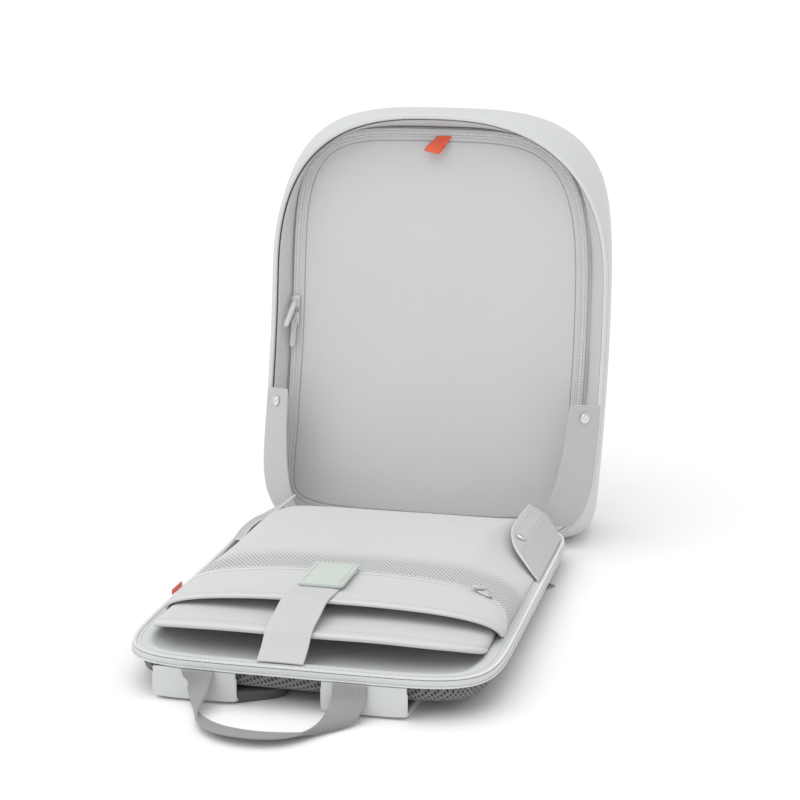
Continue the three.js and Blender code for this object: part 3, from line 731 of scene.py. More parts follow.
class Piece:
    """A mesh in the making, in metres in the model's frame."""

    def __init__(self, name: str, finish: Finish) -> None:
        """Starts an empty piece with one finish."""
        self.name = name
        self.finish = finish
        self.points: list[Array] = []
        self.faces: list[list[int]] = []
        self.uvs: list[tuple[float, float]] = []
        self.count = 0

    def grid(
        self,
        points: Array,
        loop: bool = False,
        closed: bool = False,
        along: Array | None = None,
    ) -> "Piece":
        """Adds a skin through rows of points.

        Args:
            points: rows of points, in metres.
            loop: whether each row's last point joins its first.
            closed: whether the last row joins the first.
            along: distances along the cloth to use, in metres, one for each point.

        Returns:
            The piece.
        """
        rows, columns = points.shape[:2]
        index = self.count + np.arange(rows * columns).reshape(rows, columns)
        shown = points
        if closed:
            index, shown = np.vstack([index, index[:1]]), np.vstack([shown, shown[:1]])
        if loop:
            index = np.hstack([index, index[:, :1]])
            shown = np.hstack([shown, shown[:, :1]])
        step_u = np.linalg.norm(np.diff(shown, axis=1), axis=-1).mean(0)
        step_v = np.linalg.norm(np.diff(shown, axis=0), axis=-1).mean(1)
        u = np.concatenate([[0], np.cumsum(step_u)])
        v = np.concatenate([[0], np.cumsum(step_v)])
        uv = np.stack(np.meshgrid(u - u[-1] / 2, v), -1)
        if along is not None:
            uv[..., 1] = along
        corners = [(0, 0), (0, 1), (1, 1), (1, 0)]

        def cut(values: Array) -> Array:
            """The four corners of each face."""
            last_row, last_column = values.shape[0] - 1, values.shape[1] - 1
            parts = [values[i : i + last_row, j : j + last_column] for i, j in corners]
            return np.stack(parts, 2)

        self.faces += cut(index).reshape(-1, 4).tolist()
        self.uvs += [tuple(pair) for pair in cut(uv).reshape(-1, 2)]
        self.points.append(points.reshape(-1, 3))
        self.count += rows * columns
        return self

    def cap(self, ring: Array) -> "Piece":
        """Closes a ring of points with a fan."""
        centre = ring.mean(0)
        return self.grid(np.stack([ring, np.repeat(centre[None], len(ring), 0)]), loop=True)

    def between(
        self, front: Array, back: Array, bulge: float = 0.35, along: Array | None = None
    ) -> "Piece":
        """A sheet between two grids, with a rounded edge.

        Args:
            front: the grid on one side, in metres.
            back: the grid on the other side.
            bulge: how far the edge stands out, as a share of the thickness.
            along: distances along the cloth to use, one for each point.

        Returns:
            The piece.
        """
        self.grid(front, along=along)
        self.grid(back, along=along)

        def border(grid: Array) -> Array:
            """The grid's outer points, in order."""
            return np.concatenate(
                [grid[0, :-1], grid[:-1, -1], grid[-1, :0:-1], grid[:0:-1, 0]]
            )

        one, two = border(front), border(back)
        middle = (one + two) / 2
        across = np.roll(middle, -1, 0) - np.roll(middle, 1, 0)
        out = unit(np.cross(across, one - two))
        if ((middle - middle.mean(0)) * out).sum() < 0:
            out = -out
        thick = np.linalg.norm(one - two, axis=1, keepdims=True)
        return self.grid(np.stack([one, middle + out * thick * bulge, two]), loop=True)

    def slab(self, middle: Array, thickness: float, bulge: float = 0.35) -> "Piece":
        """A sheet of even thickness in millimetres about a grid of points.

        Args:
            middle: the grid, in metres.
            thickness: its thickness, in millimetres.
            bulge: how far its edge stands out, as a share of the thickness.

        Returns:
            The piece.
        """
        out = normals_of(middle) * thickness / 2 * MM
        return self.between(middle + out, middle - out, bulge)

    def tube(self, path: Array, out: Array, size: tuple[float, float], closed: bool) -> "Piece":
        """A rounded cord or piping along a path.

        Args:
            path: the points of its middle, in metres.
            out: the direction of its height at each point.
            size: its width and height, in millimetres.
            closed: whether its end joins its start.

        Returns:
            The piece.
        """
        around = np.linspace(0, 2 * math.pi, 10, endpoint=False)
        if closed:
            along = unit(np.roll(path, -1, 0) - np.roll(path, 1, 0))
        else:
            along = unit(np.gradient(path, axis=0))
        side = unit(np.cross(along, out))
        up = unit(np.cross(side, along))
        rings = (
            path[:, None]
            + side[:, None] * (np.cos(around) * size[0] / 2 * MM)[None, :, None]
            + up[:, None] * (np.sin(around) * size[1] / 2 * MM)[None, :, None]
        )
        self.grid(rings, loop=True, closed=closed)
        if not closed:
            self.cap(rings[0]).cap(rings[-1])
        return self

    def beads(
        self,
        bead: Bead,
        path: Array,
        out: Array,
        pitch: float,
        closed: bool = False,
        across: bool = False,
        shift: float = 0.0,
    ) -> "Piece":
        """Beads in even steps along a path.

        Args:
            bead: the shape of one.
            path: the points of the path, in metres.
            out: the direction out of the cloth at each point.
            pitch: the step, in millimetres.
            closed: whether the path is closed.
            across: whether the beads lie across the path.
            shift: how far they sit to the side of the path, in millimetres.

        Returns:
            The piece.
        """
        if closed:
            path, out = np.vstack([path, path[:1]]), np.vstack([out, out[:1]])
        at = lengths(path)
        number = max(int(round(at[-1] / (pitch * MM))), 1)
        wanted = (np.arange(number) + 0.5) * at[-1] / number
        origin = np.stack([np.interp(wanted, at, path[:, k]) for k in range(3)], -1)
        ahead = np.stack(
            [np.interp(wanted + 1e-4, at, path[:, k]) for k in range(3)], -1
        )
        normal = unit(np.stack([np.interp(wanted, at, out[:, k]) for k in range(3)], -1))
        along = unit(ahead - origin + 1e-15)
        side = unit(np.cross(normal, along))
        origin = origin + side * shift * MM
        axes = np.stack([side, -along, normal] if across else [along, side, normal], 1)
        shape, faces = bead.mesh()
        copies = origin[:, None] + np.einsum("pk,nkd->npd", shape, axes)
        for i in range(number):
            start = self.count + i * len(shape)
            self.faces += [[start + k for k in face] for face in faces]
        spots = shape[:, :2]
        for face in faces * number:
            self.uvs += [tuple(spots[k]) for k in face]
        self.points.append(copies.reshape(-1, 3))
        self.count += number * len(shape)
        return self

    def build(self, *replaced: str) -> bpy.types.Object:
        """Makes the object, dresses it and puts it in the model.

        Args:
            replaced: the plain solids that the piece stands for.

        Returns:
            The object.
        """
        mesh = bpy.data.meshes.new(self.name)
        mesh.from_pydata(np.concatenate(self.points).tolist(), [], self.faces)
        layer = mesh.uv_layers.new(name=UV_NAME)
        layer.data.foreach_set("uv", np.array(self.uvs, np.float32).ravel())
        shape = bmesh.new()
        shape.from_mesh(mesh)
        bmesh.ops.remove_doubles(shape, verts=shape.verts, dist=WELD)
        bmesh.ops.dissolve_degenerate(shape, edges=shape.edges, dist=WELD / 2)
        bmesh.ops.recalc_face_normals(shape, faces=shape.faces)
        for face in shape.faces:
            face.smooth = True
        for edge in shape.edges:
            edge.smooth = not edge.is_manifold or edge.calc_face_angle(0.0) < SHARP_ANGLE
        shape.to_mesh(mesh)
        shape.free()
        mesh.materials.append(self.finish.material())
        made = bpy.data.objects.new(self.name, mesh)
        bpy.context.scene.collection.objects.link(made)
        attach(made, "root")
        if replaced:
            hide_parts(*replaced)
        LOG.info("%s: %d faces", self.name, len(mesh.polygons))
        return made


def stitches(
    name: str, path: Array, out: Array, pitch: float = 3.4, closed: bool = False
) -> bpy.types.Object:
    """A row of stitches along a path, as a piece of its own.

    Args:
        name: the piece's name.
        path: the points of the path, in metres.
        out: the direction out of the cloth at each point.
        pitch: the step, in millimetres.
        closed: whether the path is closed.

    Returns:
        The object.
    """
    bead = Bead(pitch * 0.72, 0.7, 0.5, sides=5, rings=3)
    return Piece(name, THREAD).beads(bead, path, out, pitch, closed).build()


def medallion(
    piece: Piece, frame: Callable[[Array], Array], outline: Array, steps: Sequence[tuple[float, float]]
) -> Piece:
    """A flat part whose edge and face follow an outline.

    Args:
        piece: the piece to add to.
        frame: places points across, along and out of the part in the model.
        outline: the outline, in millimetres.
        steps: how far in from the outline and how high each ring lies, from the
            underside round the edge to the middle of the face.

    Returns:
        The piece.
    """
    rings = np.stack(
        [
            np.column_stack([inset(outline, distance), np.full(len(outline), height)])
            for distance, height in steps
        ]
    )
    placed = frame(rings)
    return piece.grid(placed, loop=True).cap(placed[0]).cap(placed[-1])


def rounded(width: float, length: float, corner: float, steps: int = 6) -> Array:
    """A rectangle with round corners, about its middle.

    Args:
        width: its size along x.
        length: its size along y.
        corner: the radius of its corners.
        steps: the steps round each corner.

    Returns:
        Its points, anticlockwise.
    """
    angle = np.linspace(0, math.pi / 2, steps + 1)
    arc = np.stack([np.cos(angle), np.sin(angle)], -1) * corner
    x, y = width / 2 - corner, length / 2 - corner
    turns = [(x, y, 0), (-x, y, 1), (-x, -y, 2), (x, -y, 3)]
    parts = []
    for cx, cy, quarter in turns:
        c, s = math.cos(quarter * math.pi / 2), math.sin(quarter * math.pi / 2)
        parts.append(arc @ np.array([[c, s], [-s, c]]) + [cx, cy])
    return np.concatenate(parts)


@dataclass
class BackHalf:
    """The back half's rim, tray, zip edge, padding and side label."""

    width: float = 296.0
    length: float = 411.0
    band: float = 6.0
    lip_width: float = 20.0
    lip_height: float = 1.2
    tray: float = 4.0
    tape_width: float = 3.6
    tape_height: float = 1.4
    pad_depth: float = 15.6
    pad_inset: float = 6.0
    label_length: float = 22.0
    label_rise: float = 4.6
    label_place: float = 0.61

    def __post_init__(self) -> None:
        """Works out the rim's outline."""
        half = self.width / 2
        self.outline = Outline(half, 0, half, self.length - half, self.length, 9.6, 6).points()

    def ring(self, distance: float, rise: float) -> Array:
        """The outline moved in and up, in metres."""
        flat = inset(self.outline, distance)
        return STANCE.place(
            Half.BACK, np.column_stack([flat, np.full(len(flat), rise)])
        )

    def loft(self, profile: Sequence[tuple[float, float]], count: int) -> Array:
        """Rings along a smooth profile of distances in and heights."""
        return np.stack([self.ring(d, r) for d, r in refine(np.array(profile), count)])

    def out(self) -> Array:
        """The direction up out of the rim, once for each point of the outline."""
        return facing(Half.BACK, (0.0, 0.0, 1.0), len(self.outline))

    def build(self) -> None:
        """Builds the rim, its zip edge, the padding and the label."""
        self.build_rim()
        self.build_zip_edge()
        self.build_pad()
        self.build_label()

    def build_rim(self) -> None:
        """The rim's band, its rounded lip and the tray's floor."""
        b, lip = self.band, self.tape_width + GAP
        underside = [(b * 0.6, -b), (b * 0.22, -b * 0.95), (0, -b * 0.62), (-0.25, -b * 0.3), (0.1, 0)]
        inside = [
            (0.1, 0),
            (lip * 0.8, 0.05),
            (lip + 0.6, 0.6),
            (lip + self.lip_width * 0.2, self.lip_height),
            (lip + self.lip_width * 0.5, self.lip_height * 0.75),
            (lip + self.lip_width * 0.85, -self.tray * 0.75),
            (lip + self.lip_width, -self.tray),
        ]
        rings = np.vstack([self.loft(underside, 12), self.loft(inside, 18)[1:]])
        piece = Piece("back_rim", SHELL_CLOTH).grid(rings, loop=True)
        piece.cap(rings[0]).cap(rings[-1]).build("back_panel")
        seam = self.ring(-0.1, -b * 0.86)
        Piece("back_rim_piping", BINDING).tube(seam, self.out(), (1.5, 1.5), True).build()
        stitches("back_lip_stitches", self.ring(lip + 2.6, self.lip_height + 0.05), self.out(), 3.6, True)

    def build_zip_edge(self) -> None:
        """The toothed tape on the rim."""
        middle = self.ring(self.tape_width * 0.55, GAP + 0.35)
        tape = Piece("back_zip_edge", TAPE).tube(middle, self.out(), (self.tape_width * 0.85, 0.9), True)
        tape.build("back_zip_tape")
        line = self.ring(self.tape_width * 0.42, GAP + 1.0)
        bead = Bead(2.3, 1.35, 1.3)
        Piece("back_zip_teeth", COIL).beads(bead, line, self.out(), 2.5, True, across=True).build()

    def build_pad(self) -> None:
        """The spacer mesh padding under the back half, swollen by simulation."""
        top = -self.band - GAP
        inner = self.pad_inset
        profile = [
            (inner + 3.0, top - 0.4),
            (inner + 1.6, top - 2.0),
            (inner + 1.2, top - self.pad_depth * 0.55),
            (inner + 2.6, top - self.pad_depth * 0.82),
            (inner + 7.0, top - self.pad_depth + 0.9),
        ]
        rings = self.loft(profile, 10)
        piece = Piece("air_mesh_padding", SPACER).grid(rings, loop=True)
        pad = piece.cap(rings[0]).cap(rings[-1]).build("air_mesh_pad")
        swell(pad, voxel=5.0, cap=1.1)

    def build_label(self) -> None:
        """The red ribbon label, folded and sewn upright to the rim's side."""
        x = -self.width / 2 - GAP
        s = self.length * self.label_place
        top = self.label_rise * 0.95
        loop = np.array(
            [[x - 0.2, -0.6], [x - 0.2, top * 0.6], [x - 0.4, top], [x - 0.9, top], [x - 1.1, top * 0.6],
             [x - 1.1, -0.6]]
        )
        path = refine(loop, 20)
        along = s + np.linspace(-0.5, 0.5, 9) * self.label_length
        grid = np.stack([np.column_stack([np.full(9, px), along, np.full(9, pr)]) for px, pr in path])
        Piece("side_ribbon", RED).slab(STANCE.place(Half.BACK, grid), 0.5).build("side_label")


def swell(pad: bpy.types.Object, voxel: float, cap: float, pressure: float = 4.0) -> None:
    """Swells a padded piece by a short cloth simulation.

    Args:
        pad: the piece, a little smaller than it should end.
        voxel: the size of its new faces, in millimetres.
        cap: the furthest that a point may move, in millimetres.
        pressure: the pressure inside.
    """
    scene = bpy.context.scene

    def bake() -> None:
        """Takes the shape that the modifiers give and drops them."""
        shown = pad.evaluated_get(bpy.context.evaluated_depsgraph_get())
        made = bpy.data.meshes.new_from_object(shown)
        pad.modifiers.clear()
        pad.data = made

    remesh = pad.modifiers.new("remesh", "REMESH")
    remesh.mode = "VOXEL"
    remesh.voxel_size = voxel * MM
    bake()
    before = np.array([v.co for v in pad.data.vertices])
    cloth = pad.modifiers.new("cloth", "CLOTH")
    cloth.settings.use_pressure = True
    cloth.settings.uniform_pressure_force = pressure
    cloth.settings.effector_weights.gravity = 0.0
    frames = 20
    cloth.point_cache.frame_end = frames
    for frame in range(1, frames + 1):
        scene.frame_set(frame)
    bake()
    after = np.array([v.co for v in pad.data.vertices])
    move = after - before
    far = np.linalg.norm(move, axis=1, keepdims=True)
    move *= np.minimum(1, cap * MM / np.maximum(far, 1e-9))
    pad.data.vertices.foreach_set("co", (before + move).ravel())
    scene.frame_set(1)
    smoother = pad.modifiers.new("smooth", "SUBSURF")
    smoother.levels = smoother.render_levels = 1
    bake()
    for face in pad.data.polygons:
        face.use_smooth = True


@dataclass(frozen=True)
class Arch:
    """One of the cloth layers that arch over the tray."""

    half: float
    height: float
    start: float
    thickness: float
    mouth: float
    mouth_side: float
    left_power: float
    right_power: float


@dataclass
class Pockets:
    """The sleeve, the pockets, the pocket's zip and the closing strap."""

    back: BackHalf
    sleeve: Arch = Arch(132.0, 18.0, 24.0, 4.0, 379.0, 336.0, 4.0, 3.2)
    pocket: Arch = Arch(139.0, 31.0, 8.0, 2.4, 338.0, 302.0, 2.4, 3.0)
    zip_at: float = 264.0
    zip_drop: float = 38.0
    zip_width: float = 7.0
    run_in: float = 140.0
    corner_cut: float = 14.0
    flat_left: float = 0.8
    flat_right: float = 0.66
    strap_width: float = 36.0
    strap_from: float = 403.0
    strap_to: float = 262.0
    strap_near_x: float = -15.0
    strap_far_x: float = -7.0
    strap_turn: float = 5.0
    tab_length: float = 57.0
    tab_width: float = 37.0
    columns: int = 72

    @property
    def base(self) -> float:
        """The height at which the layers are sewn to the lip."""
        return self.back.lip_height + GAP

    def turns(self) -> Array:
        """The angle round the arch at each column."""
        return math.pi * (1 - np.linspace(0, 1, self.columns + 1))

    def power(self, form: Arch) -> Array:
        """How square a layer is at its mouth, on each side."""
        return np.where(np.cos(self.turns()) > 0, form.right_power, form.left_power)

    def share(self, form: Arch) -> Array:
        """How high each column is at the mouth, from 0 to 1."""
        return np.maximum(np.sin(self.turns()), 0) ** (2 / self.power(form))

    def sloped(self, reach: Array, side: Array, s: Array) -> Array:
        """The rise near the hinge: flat on top, then a plain slope to each side.

        Args:
            reach: the share of the half width, for each column.
            side: negative on the left and positive on the right.
            s: the distances from the hinge.

        Returns:
            The rise, from 0 to 1, with a sharper crease on the right.
        """
        right = blend(0.8, self.flat_right, smooth(s, 40, 130))
        slope = (1 - reach) / (1 - np.where(side > 0, right, self.flat_left))
        soft = np.where(side > 0, 0.05, 0.3)
        return np.maximum((slope + 1 - np.sqrt((slope - 1) ** 2 + soft**2)) / 2, 0)

    def rise(self, form: Arch, s: Array) -> Array:
        """The arch's height at a distance from the hinge."""
        return blend(form.thickness * 1.4, form.height, ease((s - form.start) / self.run_in))

    def top(self, form: Arch, s: float) -> float:
        """The height of the arch's crest above the rim."""
        return self.base + float(self.rise(form, np.array(s)))

    def local(self, form: Arch, s: Array, sunk: float) -> Array:
        """Points of a layer in the back half's frame.

        Args:
            form: the layer's arch.
            s: the distance from the hinge of each point.
            sunk: how far the points lie under the layer's outside.

        Returns:
            The points: across, towards the hinge and above the rim.
        """
        side = np.cos(self.turns())[None]
        reach = np.abs(side) ** (2 / self.power(form))
        full = smooth(s, self.back.length * 0.3, self.back.length * 0.62)
        rise = blend(self.sloped(reach, side, s), self.share(form)[None], full)
        half = form.half - self.corner_cut * (1 - ease((s - form.start) / self.run_in)) - sunk
        x = half * np.sign(side) * reach
        return np.stack([x, s, self.base + (self.rise(form, s) - sunk) * rise], -1)

    def layer(
        self, form: Arch, start: Array, end: Array, steps: Array, seed: int, wrinkle: float
    ) -> tuple[Array, Array, Array]:
        """A layer of cloth between two edges.

        Args:
            form: the layer's arch.
            start: the distance from the hinge where each column starts.
            end: the distance from the hinge where each column ends.
            steps: where the rows lie, as shares from start to end.
            seed: sets the wrinkles.
            wrinkle: how deep they are.

        Returns:
            The outer points, the inner points and the distances along, in metres.
        """
        s = blend(start[None], end[None], steps[:, None])
        sides = []
        for sunk in (0.0, form.thickness):
            grid = self.local(form, s, sunk)
            fade = smooth(s, form.start, form.start + 60) * np.sin(self.turns())[None]
            grid[..., 2] += wrinkle * ripple(grid[..., 0], s, 90.0, seed) * fade
            sides.append(STANCE.place(Half.BACK, grid))
        return sides[0], sides[1], s * MM

    def zip_line(self) -> Array:
        """Where the pocket's zip runs, for each column."""
        drop = np.where(np.arange(self.columns + 1) > self.columns / 2, self.zip_drop, -self.zip_drop / 3)
        return self.zip_at + drop * (1 - self.share(self.pocket))

    def mouth(self, form: Arch) -> Array:
        """Where a layer's mouth runs, for each column."""
        return blend(form.mouth_side, form.mouth, self.share(form) ** 0.8)

    def build(self) -> None:
        """Builds the layers, the zip and the closing strap."""
        self.build_sleeve()
        self.build_pocket()
        self.build_zip()
        self.build_strap()
        self.build_tab()

    def edge(self, name: str, outer: Array, inner: Array, form: Arch) -> None:
        """The rolled binding on a layer's mouth and the stitches behind it.

        Args:
            name: starts the names of both pieces.
            outer: the layer's outer points.
            inner: the layer's inner points.
            form: the layer's arch.
        """
        path = (outer[-1] + inner[-1]) / 2
        out = unit(outer[-1] - inner[-1])
        size = (form.thickness * 0.9 + 1.2, form.thickness + 0.9)
        Piece(f"{name}_binding", BINDING).tube(path, out, size, False).build()
        row = outer[-4]
        stitches(f"{name}_stitches", row + out * 0.15 * MM, out, 3.4)

    def build_sleeve(self) -> None:
        """The padded sleeve."""
        columns = np.ones(self.columns + 1)
        steps = np.concatenate([np.linspace(0, 0.96, 34), [0.975, 0.985, 0.993, 1.0]])
        outer, inner, s = self.layer(
            self.sleeve, self.sleeve.start * columns, self.mouth(self.sleeve), steps, 3, 0.9
        )
        made = Piece("padded_sleeve", LINING).between(outer, inner, along=s).build("laptop_sleeve")
        self.edge("sleeve", outer, inner, self.sleeve)

    def build_pocket(self) -> None:
        """The pocket in front of the zip and the one behind it."""
        columns = np.ones(self.columns + 1)
        line, half = self.zip_line(), self.zip_width / 2
        steps = np.linspace(0, 1, 40)
        outer, inner, s = self.layer(
            self.pocket, self.pocket.start * columns, line - half, steps, 5, 0.7
        )
        Piece("dotted_pocket", POCKET).between(outer, inner, along=s).build("mesh_pocket")
        steps = np.concatenate([np.linspace(0, 0.86, 14), [0.9, 0.93, 0.965, 1.0]])
        outer, inner, s = self.layer(
            self.pocket, line + half, self.mouth(self.pocket), steps, 5, 0.7
        )
        Piece("front_pocket", LINING).between(outer, inner, along=s).build("tablet_pocket")
        self.edge("front_pocket", outer, inner, self.pocket)

    def build_zip(self) -> None:
        """The pocket's zip: tape, coil, seams and slider."""
        line, half = self.zip_line(), self.zip_width / 2
        steps = np.linspace(0, 1, 7)
        outer, inner, _ = self.layer(self.pocket, line - half, line + half, steps, 5, 0.7)
        out = unit(outer[3] - inner[3])
        dip = np.array([0.0, 0.45, 0.55, 0.5, 0.55, 0.45, 0.0])[:, None, None] * MM
        Piece("pocket_zip_cloth", TAPE).between(outer - out[None] * dip, inner).build("pocket_zip_tape")
        coil = Piece("pocket_zip_coil", COIL)
        bead = Bead(2.4, 0.95, 0.9)
        for side in (-0.55, 0.55):
            coil.beads(bead, outer[3] - out * 0.1 * MM, out, 1.5, across=True, shift=side)
        coil.build()
        for row, name in ((0, "far"), (6, "near")):
            path = outer[row] + out * 0.25 * MM
            Piece(f"pocket_zip_{name}_welt", BINDING).tube(path, out, (1.5, 1.0), False).build()
        self.build_slider(outer[3], out)

    def build_slider(self, path: Array, out: Array) -> None:
        """The pocket zip's slider with its flat pull.

        Args:
            path: the zip's middle line, in metres.
            out: the direction out of the zip at each point.
        """
        column = int(self.columns * 0.79)
        along = unit(path[column + 1] - path[column - 1])
        side = unit(np.cross(out[column], along))

        def frame(local: Array) -> Array:
            """Points along the zip, towards the hinge and out of the cloth."""
            return (
                path[column]
                + along * local[..., 0:1] * MM
                + side * local[..., 1:2] * MM
                + out[column] * local[..., 2:3] * MM
            )

        body = rounded(12.0, 8.0, 2.4)
        piece = Piece("pocket_zip_slider", SLIDER_METAL)
        medallion(piece, frame, body, [(0.6, 0.5), (0.0, 1.0), (0.0, 2.4), (0.5, 3.0), (1.6, 3.3)])
        bridge = rounded(6.5, 2.6, 1.2)
        medallion(piece, frame, bridge, [(0.0, 3.0), (0.0, 4.2), (0.5, 4.7)])
        piece.build("pocket_slider")
        shape = rounded(8.0, 16.0, 2.2) + np.array([-8.5, 3.0])
        piece = Piece("pocket_zip_pull", SLIDER_METAL)
        rim = [(0.4, 3.7), (0.0, 4.1), (0.0, 5.0), (0.4, 5.5), (1.0, 5.6), (1.5, 5.2), (2.0, 5.1)]
        medallion(piece, frame, shape, rim).build("pocket_pull")

    def build_strap(self) -> None:
        """The elastic closing strap."""
        half = 0.75 + GAP
        pocket, sleeve = self.pocket, self.sleeve
        tops = {key: self.top(form, at) for key, form, at in (
            ("sleeve", sleeve, sleeve.mouth), ("mouth", pocket, pocket.mouth), ("end", pocket, self.strap_to))}
        route = np.array([
            [self.strap_from, self.base + half],
            [blend(sleeve.mouth, self.strap_from, 0.55), tops["sleeve"] * 0.55],
            [sleeve.mouth + self.strap_turn * 0.6, tops["sleeve"] + half + 0.6],
            [blend(pocket.mouth, sleeve.mouth, 0.6), blend(tops["mouth"], tops["sleeve"], 0.4) + 0.8],
            [pocket.mouth + self.strap_turn, tops["mouth"] + half + 0.6],
            [pocket.mouth - self.strap_turn * 2.4, tops["mouth"] + half + 0.4],
            [blend(self.strap_to, pocket.mouth, 0.4), tops["end"] + half + 0.4],
            [self.strap_to, tops["end"] + half + 0.4],
        ])
        path = refine(route, 60)
        share = (path[:, 0] - self.strap_to) / (self.strap_from - self.strap_to)
        middle = blend(self.strap_far_x, self.strap_near_x, share)
        across = np.linspace(-0.5, 0.5, 13) * self.strap_width
        grid = np.stack(
            [
                middle[:, None] + across[None],
                np.repeat(path[:, :1], 13, 1),
                path[:, 1:2] - 0.5 * (np.abs(across[None]) / 18) ** 4,
            ],
            -1,
        )
        piece = Piece("closing_elastic_band", ELASTIC)
        piece.slab(STANCE.place(Half.BACK, grid), 1.5).build("closing_strap")

    def build_tab(self) -> None:
        """The closing tab: a soft plate with a raised, stitched border."""
        s = self.strap_to + self.tab_length / 2 - 3
        r = self.top(self.pocket, self.pocket.mouth) + 1.5 + GAP * 2 + 0.2

        def frame(local: Array) -> Array:
            """Points across, towards the handle and out of the strap."""
            moved = local + [self.strap_far_x, s, r]
            moved[..., 2] += 0.35 * np.cos(local[..., 1] / self.tab_length * math.pi)
            return STANCE.place(Half.BACK, moved)

        shape = rounded(self.tab_width, self.tab_length, 4.4, 8)
        steps = [
            (0.5, 0.0), (0.0, 0.5), (-0.1, 1.5), (0.3, 2.7), (1.1, 3.1), (2.3, 3.15),
            (2.9, 2.75), (3.5, 2.7), (4.2, 3.05), (7.0, 3.15), (14.0, 3.2),
        ]
        medallion(Piece("closing_tab_plate", TAB), frame, shape, steps).build("closing_tab")
        row = np.column_stack([inset(shape, 3.2), np.full(len(shape), 2.95)])
        up = facing(Half.BACK, (0.0, 0.0, 1.0), len(shape))
        stitches("closing_tab_stitches", frame(row), up, 2.9, True)


@dataclass(frozen=True)
class WingRow:
    """One row of a wing: its place along the back, its fold and its free edge.

    Places across and heights are shares of the half width and the pocket's height.
    """

    along: float
    fold: tuple[float, float]
    free: tuple[float, float]


@dataclass
class BackWings:
    """The two cloth wings beside the hinge, and the snap on the right one."""

    back: BackHalf
    pocket_height: float = 31.0
    thickness: float = 1.6
    right_rows: tuple[WingRow, ...] = (
        WingRow(0.075, (0.875, 0.66), (0.768, 0.95)),
        WingRow(0.18, (0.861, 0.74), (0.746, 0.92)),
        WingRow(0.28, (0.855, 0.66), (0.757, 0.84)),
        WingRow(0.335, (0.852, 0.52), (0.805, 0.68)),
        WingRow(0.385, (0.93, 0.2), (0.915, 0.3)),
    )
    left_rows: tuple[WingRow, ...] = (
        WingRow(0.075, (0.842, 0.35), (0.732, 0.77)),
        WingRow(0.18, (0.849, 0.51), (0.804, 0.51)),
        WingRow(0.28, (0.854, 0.67), (0.809, 0.67)),
        WingRow(0.335, (0.858, 0.66), (0.813, 0.66)),
        WingRow(0.385, (0.858, 0.55), (0.813, 0.55)),
    )

    def corners(self, side: int) -> Array:
        """Rows from the hinge on: foot, fold and free edge of a wing."""
        half, foot = self.back.width / 2, self.back.lip_height + GAP + self.thickness / 2
        made = []
        for row in self.right_rows if side > 0 else self.left_rows:
            at = row.along * self.back.length
            points = [[side * (half - self.back.tape_width - GAP * 4), at, foot]]
            for x, r in (row.fold, row.free):
                points.append([side * x * half, at, r * self.pocket_height + foot])
            made.append(points)
        return np.array(made)

    def build(self) -> None:
        """Builds both wings and the snap."""
        for side, word in ((1, "right"), (-1, "left")):
            self.build_wing(side, word)
        self.build_snap()

    def build_wing(self, side: int, word: str) -> None:
        """One wing, folded lengthwise, with a hem and stitches along its free edge.

        Args:
            side: 1 on the right and -1 on the left.
            word: the side's name.
        """
        dense = refine(self.corners(side), 28)
        shares = [0, 0.3, 0.6, 0.85, 0.96, 1.0]
        foot = [blend(dense[:, 0], dense[:, 1], t) for t in shares]
        free = [blend(dense[:, 1], dense[:, 2], t) for t in (0.05, 0.12, 0.5, 0.72, 0.86, 1.0)]
        free[1] = free[1] + [0.0, 0.0, 0.5]
        grid = np.stack(foot + free, 1)
        uneven = ripple(grid[..., 0], grid[..., 1], 45.0, 11 + side)
        grid[..., 2] += 0.4 * uneven * np.linspace(0, 1, grid.shape[1])
        placed = STANCE.place(Half.BACK, grid)
        made = Piece(f"wing_cloth_{word}", FLAP).slab(placed, self.thickness).build(f"back_wing_{word}")
        out = normals_of(placed)
        if out[14, -2, 2] < 0:
            out = -out
        lift = (self.thickness / 2 + 0.15) * MM
        for column, place in ((-3, "edge"), (7, "fold"), (4, "foot")):
            row = placed[:, column] + out[:, column] * lift
            stitches(f"wing_{place}_stitches_{word}", row, out[:, column], 3.0)
        edge = np.vstack([placed[:, -1], placed[-1, -2::-1]])
        turn = np.vstack([out[:, -1], out[-1, -2::-1]])
        Piece(f"wing_hem_{word}", BINDING).tube(edge, turn, (1.6, 2.1), False).build()

    def build_snap(self) -> None:
        """The snap on the right wing's free flap."""
        corners = self.corners(1)
        middle = (corners[2, 1] + corners[2, 2]) / 2
        across = unit(corners[2, 2] - corners[2, 1])
        along = unit(corners[3, 2] - corners[1, 2])
        out = unit(np.cross(along, across))
        if out[2] < 0:
            out = -out
        lifted = middle + out * (self.thickness / 2 + GAP)

        def frame(local: Array) -> Array:
            """Points across, along and out of the flap."""
            return STANCE.place(
                Half.BACK,
                lifted + across * local[..., 0:1] + along * local[..., 1:2] + out * local[..., 2:3],
            )

        snap_button(Piece("wing_snap_button", SNAP_METAL), frame).build("wing_snap_right")


def snap_button(piece: Piece, frame: Callable[[Array], Array]) -> Piece:
    """A press stud: a flat rim round a dished, domed cap.

    Args:
        piece: the piece to add to.
        frame: places points of the stud in the model.

    Returns:
        The piece.
    """
    angle = np.linspace(0, 2 * math.pi, 32, endpoint=False)
    circle = np.stack([np.cos(angle), np.sin(angle)], -1) * SNAP_RADIUS
    steps = [
        (0.1, 0.0), (0.0, 0.3), (0.1, 0.75), (0.5, 0.95), (1.2, 1.0), (1.5, 1.15), (1.8, 1.6),
        (2.3, 1.8), (3.2, 1.75), (4.2, 1.55),
    ]
    return medallion(piece, frame, circle, steps)


@dataclass(frozen=True)
class Section:
    """One cross-section of the front shell, as shares of its sizes."""

    depth: float
    half: float
    gain: float
    top_power: float
    low_power: float


